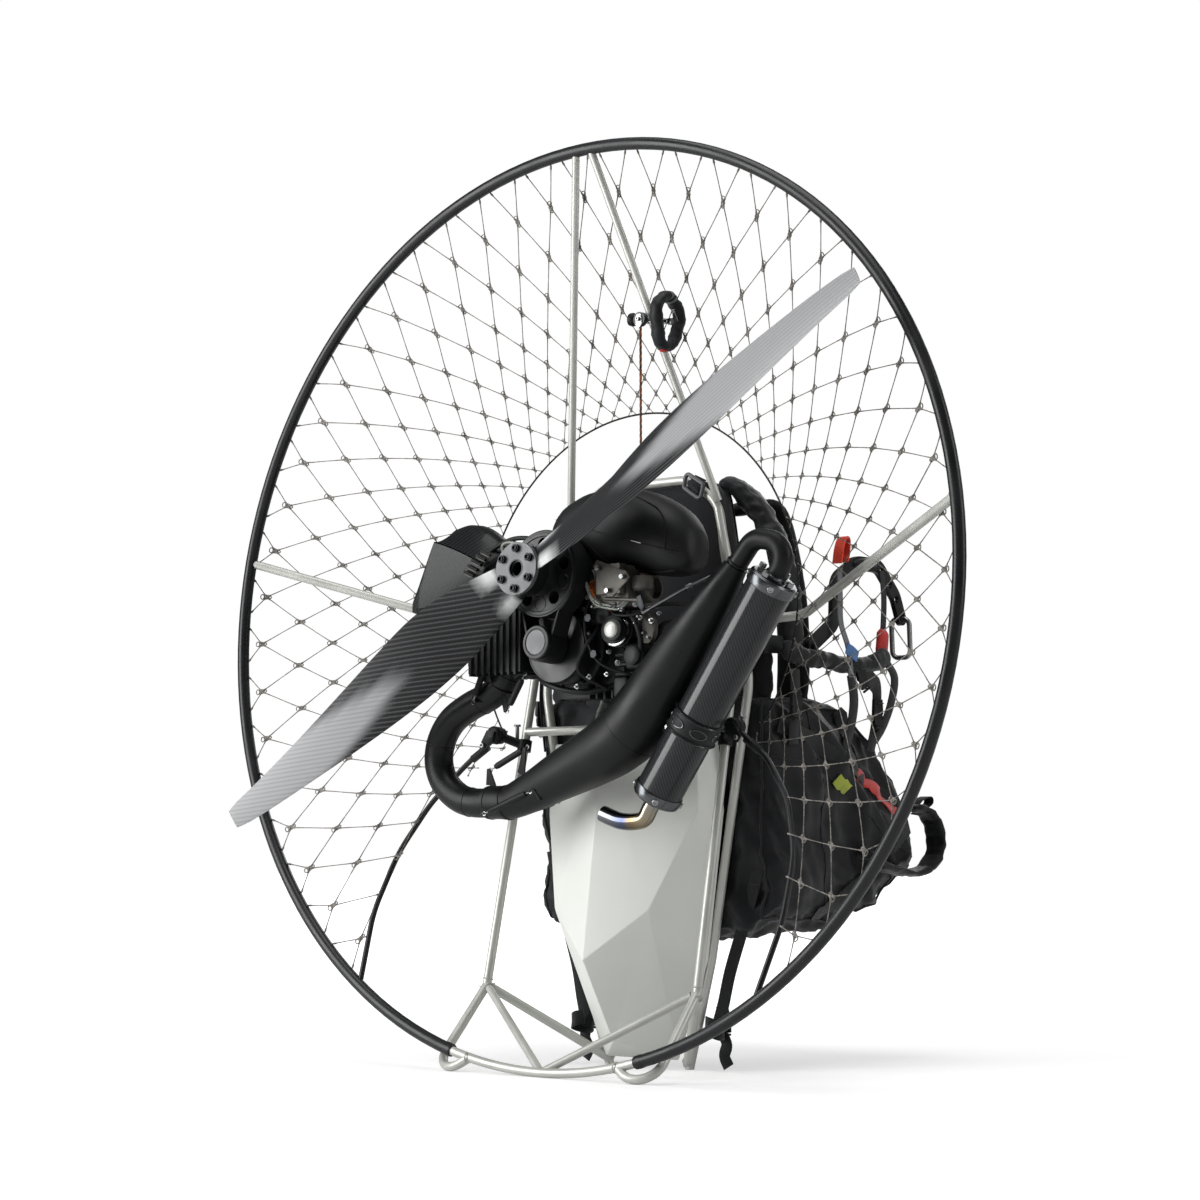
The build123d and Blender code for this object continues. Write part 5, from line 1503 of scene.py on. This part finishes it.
def flat_strap(name, line, normals, width, thick, material):
    """Webbing that lies flat on a surface."""
    rings = []
    for (point, ahead, _, _), normal in zip(stations(line), normals):
        high = (normal - ahead * normal.dot(ahead)).normalized()
        wide = ahead.cross(high)
        rings.append([point + (wide * (u * width / 2) + high * (v * thick / 2)) * MM for u,
            v in WEBBING_SHAPE])
    return skin(name, rings, material)


def padded_strap(name, line, wide, thick, material, across, pinch=0.0, step=12):
    """Foam strap in a sewn cover; it draws in a little at its rows of stitching."""
    rings = []
    for i, (point, ahead, _, _) in enumerate(stations(line)):
        side = (across - ahead * across.dot(ahead)).normalized()
        high = ahead.cross(side)
        drawn = 1 - pinch * max(0.0, math.cos(math.tau * i / step)) ** 6
        end = min(i, len(line) - 1 - i)
        taper = min(1.0, 0.55 + 0.2 * end)
        ring = []
        for k in range(28):
            turn = math.tau * k / 28
            a, b, size = squircle(turn, 3)
            ring.append(point + (side * a * size * wide / 2 * taper + high * b * size * thick / 2
                * drawn * taper) * MM)
        rings.append(ring)
    return skin(name, rings, material, sharp=80)


def webbing(name, points, per, width, across, thick=1.8, material=WEBBING):
    """Webbing along a smooth line through points; sizes in mm."""
    return strap(name, curve(points, per), width * MM, thick * MM, material, across=across)


def stitches(line, normals, material=GREY_WEBBING, length=3.0, gap=2.4):
    """Row of short thread stitches along a line on the cloth."""
    found = []
    total, left = 0.0, 0.0
    for (p, q), normal in zip(zip(line, line[1:]), normals):
        way = q - p
        while left < way.length:
            a = p + way.normalized() * left
            b = a + way.normalized() * length * MM
            lift = normal * 0.5 * MM
            found.append(pipe("stitch", [a, a.lerp(b, 0.5) + lift, b], 0.35 * MM, material, 5))
            left += (length + gap) * MM
        left -= way.length
    return found


def buckle_at(centre, along, across, size=1.0):
    """Side-release buckle: a body with two prongs and a webbing bar."""
    way, side = along.normalized(), across.normalized()
    high = way.cross(side).normalized()

    def place(u, v):
        return centre + (way * u + side * v) * size * MM

    body = plate("buckle_body", [place(u, v) for u, v in [(-22, -13), (-22, 13), (4, 15), (8, 12),
        (8, -12), (4, -15)]], 7 * size, AIRBOX_PLASTIC, 1.4)
    prongs = plate("buckle_prongs", [place(u, v) for u, v in [(6, -12), (6, 12), (14, 14),
        (26, 12), (28, 0), (26, -12), (14, -14)]], 5 * size, AIRBOX_PLASTIC, 1.2)
    bar = pipe("buckle_bar", [place(30, -12), place(30, 12)], 2.4 * size * MM, AIRBOX_PLASTIC, 10)
    lip = pipe("buckle_lip", [place(-14, -9) + high * 3.8 * size * MM, place(-14, 9) + high * 3.8
        * size * MM], 1.0 * size * MM, AIRBOX_PLASTIC, 8)
    return [body, prongs, bar, lip]


BAG_SIDE = [(206, 212), (240, 204), (300, 201), (370, 202), (430, 208), (478, 219), (530, 243),
    (572, 268), (603, 290), (617, 318), (612, 350), (594, 384), (562, 420), (528, 455), (496, 490),
    (458, 520), (414, 541), (350, 553), (280, 556), (212, 553), (204, 500), (204, 400), (204, 300)]
BAG_HALF = 234.0


def seat_bag():
    """Seat sack of coated nylon round a foam board: a lofted shell that bulges and sags."""
    side = curve([Vector((0, y, z)) for y, z in BAG_SIDE], 4, closed=True)
    middle = Vector((0, 370, 395))
    rings = []
    for x in (-1, -0.985, -0.95, -0.9, -0.8, -0.6, -0.3, 0, 0.3, 0.6, 0.8, 0.9, 0.95, 0.985, 1):
        edge = max(0.0, abs(x) - 0.78) / 0.22
        ring = []
        for point in side:
            sag = 12 * (1 - x * x) * max(0.0, (330 - point.z) / 130)
            size = 1 - 0.15 * edge ** 2.6
            spot = middle + (point - middle) * size
            ring.append(at(x * BAG_HALF, max(spot.y, 204), spot.z + 12 - sag))
        rings.append(ring)
    return skin("seat_bag", rings, NYLON, sharp=80)


def bag_seam(point):
    away = abs(abs(point.x) - 0.9 * BAG_HALF * MM)
    wall = point.y < at(0, 212, 0).y
    cross = abs((point.z - at(0, 0, 330).z) + (point.y - at(0, 400, 0).y) * 0.35)
    return wall or away < 0.006 or cross < 0.004


bag = filled(seat_bag(), 0.0075, 3.0, 0.016, bag_seam)
creased(bag, 0.016, 0.1, Vector((0.2, 0.75, -1)), 3.1)
creased(bag, 0.009, 0.045, Vector((0.1, 0.45, -1)), 6.6)
creased(bag, 0.004, 0.022, Vector((0, 1, -0.3)), 8.4)
bag_tree = surface_of(bag)
trim, cloth = [], []
for side in (1, -1):
    ring = [at(side * 0.93 * BAG_HALF, y, z + 6) for y, z in BAG_SIDE]
    line, normals = laid(bag_tree, curve(ring, 5, closed=True), 0.6)
    trim.append(pipe("piping", line, 1.9 * MM, WEBBING, 8, closed=True))
    for path in ([(204, 470), (290, 462), (380, 430), (470, 372), (560, 330), (616, 318)],
            [(300, 553), (318, 470), (330, 400), (350, 300), (360, 204)],
            [(414, 541), (432, 470), (470, 400), (520, 330), (545, 256)]):
        line, normals = laid(bag_tree, curve([at(side * 236, y, z) for y, z in path], 8), 0.3)
        trim.append(pipe("seam", line, 1.3 * MM, WEBBING, 6))
        trim += stitches(line, normals, WEBBING, 4.0, 3.0)
    for path, width, finish in (([(419, 449), (450, 434), (480, 419), (512, 402), (542, 385)], 24,
            RED_CLOTH), ([(366, 441), (381, 435), (396, 430)], 20, YELLOW_CLOTH),
            ([(398, 556), (402, 520), (408, 484), (414, 452)], 25, WEBBING),
            ([(225, 520), (300, 500), (380, 470), (440, 440)], 25, WEBBING),
            ([(330, 214), (400, 250), (470, 300), (540, 352), (590, 380)], 25, WEBBING)):
        line, normals = laid(bag_tree, curve([at(side * 236, y, z) for y, z in path], 3), 3.2)
        cloth.append(flat_strap("bag_webbing", line, normals, width, 1.8, finish))
for path in ([(-230, 612, 352), (0, 612, 352), (230, 612, 352)], [(-230, 540, 445), (0, 540, 445),
        (230, 540, 445)], [(-230, 480, 224), (0, 480, 214), (230, 480, 224)]):
    line, normals = laid(bag_tree, curve(many(*path), 24), 0.5)
    trim.append(pipe("seam_across", line, 1.6 * MM, WEBBING, 6))
assembled("bag_trim", trim + cloth, "root", "webbing")
give(bag, "root", "fabric", "seat")


def backrest_pad():
    rings = []
    for z in (548, 551, 558, 575, 620, 680, 740, 800, 850, 880, 893, 899):
        end = min(z - 546, 901 - z) / 26
        round_off = math.sqrt(max(0.0, 1 - (1 - min(end, 1)) ** 2)) * 0.24 + 0.76
        wide = (150 - 26 * max(0.0, (z - 760) / 140)) * round_off
        ring = []
        for k in range(64):
            turn = math.tau * k / 64
            a, b, size = squircle(turn, 4)
            ring.append(at(a * size * wide, 237 + b * size * 29 * round_off, z))
        rings.append(ring)
    return skin("backrest_pad", rings, SPACER, sharp=80)


def channel(point):
    height = (point.z - at(0, 0, 545).z) / MM
    edge = abs(point.x) > 0.128
    return edge or any(abs(height - row) < 4 for row in (70, 160, 250, 320)) or point.y < at(0,
        213, 0).y


rest = filled(backrest_pad(), 0.006, 5.0, 0.009, channel)
rest_tree = surface_of(rest)
binding = []
outline = [(-148, 560), (-148, 760), (-124, 892), (-60, 899), (60, 899), (124, 892), (148, 760),
    (148, 560), (60, 548), (-60, 548)]
for y in (212, 262):
    line, normals = laid(rest_tree, curve([at(x, y, z) for x, z in outline], 9, closed=True), 0.4)
    binding.append(pipe("binding", line, 2.6 * MM, WEBBING, 8, closed=True))
for z in (615, 705, 795, 865):
    line, normals = laid(rest_tree, curve(many((-138, 272, z), (0, 280, z), (138, 272, z)), 20),
        0.2)
    binding.append(pipe("channel", line, 1.2 * MM, WEBBING, 6))
    binding += stitches(line, normals, GREY_WEBBING, 4.0, 4.0)
assembled("backrest_binding", binding, "root", "webbing")
give(rest, "root", "fabric", "backrest")

for side, name in SIDES:
    by = beside(side)
    # Shoulder strap: foam under coated cloth, webbing sewn down its middle, adjuster at its foot.
    line = curve(sided(side, (112, 271.6, 852), (120, 315, 868), (140, 341.6, 852),
        (160, 346, 780), (172, 347.6, 700), (180, 340, 620), (182, 331.6, 552)), 8)
    pad = padded_strap("shoulder_pad_" + name, line, 58, 17, NYLON, RIGHT, 0.22, 9)
    pad_tree = surface_of(pad)
    spine, normals = laid(pad_tree, [p + Vector((0, 0.02, 0.004)) for p in line[6:-2]], 1.2)
    sewn = [flat_strap("sewn_webbing", spine, normals, 25, 1.8, WEBBING)]
    for shift in (-9, 9):
        row, ups = laid(pad_tree, [p + RIGHT * shift * MM + Vector((0, 0.02, 0))
            for p in line[6:-2]], 2.4)
        sewn += stitches(row, ups, GREY_WEBBING, 3.4, 3.0)
    sewn += buckle_at(by(181, 350, 600), PLUMB, RIGHT, 0.9)
    sewn.append(webbing("free_end", sided(side, (181, 352, 596), (183, 356, 560), (184, 350, 520),
        (186, 344, 480)), 6, 24, RIGHT))
    assembled("shoulder_webbing_" + name, sewn, "root", "webbing")
    give(pad, "root", "fabric", "shoulder_strap_" + name)
    # Wide shoulder yoke behind the frame's upper corner.
    line = curve(sided(side, (104, 256, 896), (128, 262, 888), (156, 264, 868), (184, 264, 838),
        (206, 262, 804), (222, 262, 764), (226, 264, 720), (224, 268, 670), (218, 270, 630)), 7)
    yoke = padded_strap("yoke_" + name, line, 50, 26, NYLON, AHEAD, 0.2, 8)
    filled(yoke, 0.005, 4.0, 0.006)
    creased(yoke, 0.004, 0.026, Vector((side, 0.4, 0.2)), 2.0)
    give(yoke, "root", "fabric")
    # Lumbar wing: the panel that closes the gap between the backrest and the hip padding.
    rings = []
    for z, reach in ((548, 196), (552, 212), (575, 219), (610, 219), (650, 219), (690, 212),
            (725, 196), (734, 180)):
        ring = []
        for k in range(32):
            turn = math.tau * k / 32
            a, b, size = squircle(turn, 4)
            middle_at, half_wide = (140 + reach) / 2, (reach - 140) / 2
            ring.append(by(middle_at + side * a * size * half_wide, 232 + b * size * 12, z))
        rings.append(ring)
    wing = skin("lumbar_wing_" + name, rings, NYLON, sharp=80)
    filled(wing, 0.006, 4.0, 0.006)
    creased(wing, 0.004, 0.03, Vector((side, 0, -0.4)), 4.0)
    give(wing, "root", "fabric")
    # Leg strap: a padded loop at the side of the bag, with its buckle.
    line = curve(sided(side, (247, 428, 330), (248, 470, 308), (248, 520, 299), (249, 574, 296),
        (250, 614, 312), (250, 630, 344), (249, 618, 378), (248, 592, 396), (247, 560, 398)), 8)
    leg = padded_strap("leg_pad_" + name, line, 36, 13, NYLON, RIGHT, 0.3, 7)
    creased(leg, 0.003, 0.02, Vector((0, 1, 0.3)), 5.0)
    give(leg, "root", "fabric", "leg_strap_" + name)
    # Hip padding that ties the arm's root to the seat, then webbing, tabs and buckles on it.
    line = curve(sided(side, (250, 212, 634), (257, 262, 622), (260, 318, 620), (260, 372, 616),
        (260, 430, 620), (258, 488, 634)), 8)
    hip = padded_strap("hip_pad_" + name, line, 34, 15, NYLON, UPRIGHT, 0.22, 8)
    filled(hip, 0.004, 4.0, 0.005)
    creased(hip, 0.003, 0.02, Vector((0.2, 0.3, 1)), 1.0)
    give(hip, "root", "fabric")
    straps = [webbing("riser_webbing", sided(side, (250, 366, 762), (252, 364, 720),
        (256, 360, 680), (268, 362, 640), (270, 366, 596)), 7, 13, AHEAD, 2,
        material=GREY_WEBBING), webbing("riser_loop", sided(side, (270, 366, 600), (268, 376, 560),
        (256, 384, 520), (242, 388, 486)), 6, 22, AHEAD, 2),
        strap("blue_tab", sided(side, (271.6, 352, 640), (272.6, 366, 635), (271, 382, 628)),
        18 * MM, 2 * MM, BLUE_CLOTH, across=Vector((0, 0.2, 1))),
        webbing("chest_webbing", sided(side, (266, 404, 612), (262, 430, 596), (254, 458, 584),
        (250, 464, 556), (246, 464, 520), (241, 458, 486)), 6, 24, Vector((0, 1, 0.2)), 2),
        webbing("rear_webbing", sided(side, (250, 246, 604), (251, 246, 570), (248, 247, 536),
        (244, 250, 490)), 6, 24, AHEAD, 2),
        webbing("tie_webbing", sided(side, (262, 474, 626), (268, 488, 600), (262, 486, 560),
        (252, 478, 524), (241, 470, 500)), 7, 20, AHEAD),
        webbing("web_loop", sided(side, (232, 588, 398), (236, 604, 412), (238, 624, 416),
        (237, 628, 406), (234, 612, 396), (230, 598, 388)), 6, 18, RIGHT)]
    straps += buckle_at(by(270, 398, 600), Vector((0, 0.5, -1)), Vector((0, 1, 0.5)), 0.8)
    straps += buckle_at(by(256, 462, 548), PLUMB, AHEAD, 0.85)
    straps += buckle_at(by(255, 246, 553), PLUMB, AHEAD, 0.85)
    assembled("side_webbing_" + name, straps, "root", "webbing")
    # On the arm: an orange pull loop, padded cover and the red grip that hangs from it.
    arm = "arm_" + name
    loop = webbing("pull_loop", sided(side, (243, 370, 774), (244, 374, 798), (243, 385, 815),
        (241, 396, 812), (240, 396, 792), (241, 390, 778)), 8, 18, RIGHT, 3, material=ORANGE_CLOTH)
    tie = webbing("grip_tie", sided(side, (243, 492, 772), (246, 493, 730), (246, 491, 690),
        (246, 488, 670)), 6, 14, AHEAD)
    grip = padded_strap("red_grip", curve(sided(side, (247, 488, 678), (247, 486, 658),
        (247, 482, 634)), 7), 28, 10, RED_CLOTH, AHEAD, 0.0)
    cover = padded_strap("arm_cover", curve(sided(side, (235, 418, 776), (235, 450, 782),
        (235, 480, 780)), 6), 28, 14, NYLON, RIGHT, 0.1, 5)
    assembled("arm_webbing_" + name, [loop, tie, cover], arm, "webbing")
    give(grip, arm, "webbing")

# Straps that tie the harness to the frame's feet, with their buckles.
for side, name in SIDES:
    by = beside(side)
    tie = [webbing("foot_strap", sided(side, (206, 214, 330), (198, 216, 290), (176, 214, 220),
        (152, 212, 150), (140, 210, 100), (128, 208, 60)), 7, 22, RIGHT),
        webbing("foot_wrap", sided(side, (120, 196, 70), (116, 208, 62), (128, 214, 56),
        (142, 208, 58), (146, 194, 64), (132, 186, 70), (120, 192, 72)), 6, 22, UPRIGHT),
        webbing("foot_tail", sided(side, (132, 214, 60), (140, 218, 40), (134, 220, 22),
        (142, 220, 6)), 6, 20, RIGHT)]
    tie += buckle_at(by(132, 219, 78), Vector((0.2, 0, -1)), RIGHT, 0.8)
    tie += buckle_at(by(200, 216, 300), Vector((-0.3, 0, -1)), RIGHT, 0.7)
    assembled("foot_webbing_" + name, tie, "root", "webbing")


# ---- Lights, floor and camera --------------------------------------------------------------------
FLOOR, floor_shader = shaded("studio_floor", "#DADADA", 0.7)
floor_light = add(FLOOR, "LightPath")
floor_place = add(FLOOR, "TexCoord").outputs["Object"]
floor_far = add(FLOOR, "VectorMath", {"operation": "LENGTH"}, {0: floor_place})
floor_fade = add(FLOOR, "MapRange", {"From Min": 0.8, "From Max": 1.8, "To Min": 0.0,
    "To Max": 1.0, "interpolation_type": "SMOOTHSTEP"}, {"Value": floor_far.outputs["Value"]})
mirrored_light = add(FLOOR, "Math", {"operation": "MULTIPLY", 1: 0.25},
    {0: floor_light.outputs["Is Glossy Ray"]})
seen = add(FLOOR, "Math", {"operation": "MAXIMUM"}, {0: floor_light.outputs["Is Camera Ray"],
    1: mirrored_light.outputs[0]})
white = add(FLOOR, "Emission", {"Strength": 1.0, "Color": (1, 1, 1, 1)})
part_white = add(FLOOR, "Math", {"operation": "MULTIPLY"},
    {0: seen.outputs[0], 1: floor_fade.outputs["Result"]})
faded_floor = add(FLOOR, "MixShader", {},
    {0: part_white.outputs[0], 1: floor_shader.outputs["BSDF"], 2: white.outputs["Emission"]})
lift = add(FLOOR, "Emission", {"Color": (1, 1, 1, 1)},
    {"Strength": add(FLOOR, "Math", {"operation": "MULTIPLY", 1: 0.42},
    {0: seen.outputs[0]}).outputs[0]})
floor_sum = add(FLOOR, "AddShader", {}, {0: faded_floor.outputs[0], 1: lift.outputs[0]})
FLOOR.node_tree.links.new(floor_sum.outputs[0],
    FLOOR.node_tree.nodes["Material Output"].inputs["Surface"])
floor_rings = [[Vector((math.cos(math.tau * k / 64), math.sin(math.tau * k / 64), 0)) * radius
    for k in range(64)] for radius in (0.5, 1, 2, 4, 9, 30)]
floor = skin("studio_floor", floor_rings[::-1], FLOOR, caps=False)
centre_disc = bpy.data.meshes.new("floor_middle")
centre_disc.from_pydata(floor_rings[0], [], [tuple(range(64))])
middle = shown("studio_floor_middle", centre_disc, FLOOR)

world = bpy.data.worlds.new("studio")
world.use_nodes = True
bpy.context.scene.world = world
background = world.node_tree.nodes["Background"]
background.inputs["Color"].default_value = (1, 1, 1, 1)
world_light = add(world, "LightPath")
direct = add(world, "Math", {"operation": "MAXIMUM"}, {0: world_light.outputs["Is Camera Ray"],
    1: world_light.outputs["Is Transmission Ray"]})
strength = add(world, "MapRange", {"To Min": 0.24, "To Max": 1.0}, {"Value": direct.outputs[0]})
dimmed = add(world, "MapRange", {"To Min": 1.0, "To Max": 0.45},
    {"Value": world_light.outputs["Is Glossy Ray"]})
total = add(world, "Math", {"operation": "MULTIPLY"}, {0: strength.outputs["Result"],
    1: dimmed.outputs["Result"]})
world.node_tree.links.new(total.outputs[0], background.inputs["Strength"])


def softbox(name, place, target, size, power):
    light = bpy.data.lights.new(name, "AREA")
    light.shape = "RECTANGLE"
    light.size, light.size_y = size
    light.energy = power
    lamp = bpy.data.objects.new(name, light)
    lamp.location = place
    lamp.rotation_euler = (Vector(target) - Vector(place)).to_track_quat("-Z", "Y").to_euler()
    bpy.context.scene.collection.objects.link(lamp)


softbox("key", (-2.1, -2.9, 1.5), (0, 0, 0.7), (1.8, 2.8), 128)
softbox("top", (0.2, -0.6, 3.6), (0, 0, 0.6), (2.2, 2.2), 50)
softbox("rim", (3.0, 0.9, 1.8), (0, 0, 0.7), (0.7, 2.2), 25)
softbox("front", (-0.6, 3.2, 2.2), (0, 0, 0.7), (2.4, 1.6), 35)

camera = bpy.data.cameras.new("camera")
camera.lens = 81.2
viewer = bpy.data.objects.new("camera", camera)
viewer.location = at(2644.8, -3062.2, 337.1)
viewer.rotation_euler = (math.radians(95.2), 0, math.radians(40.02))
bpy.context.scene.collection.objects.link(viewer)
bpy.context.scene.camera = viewer
bpy.context.scene.view_settings.view_transform = "Standard"

bpy.context.view_layer.update()
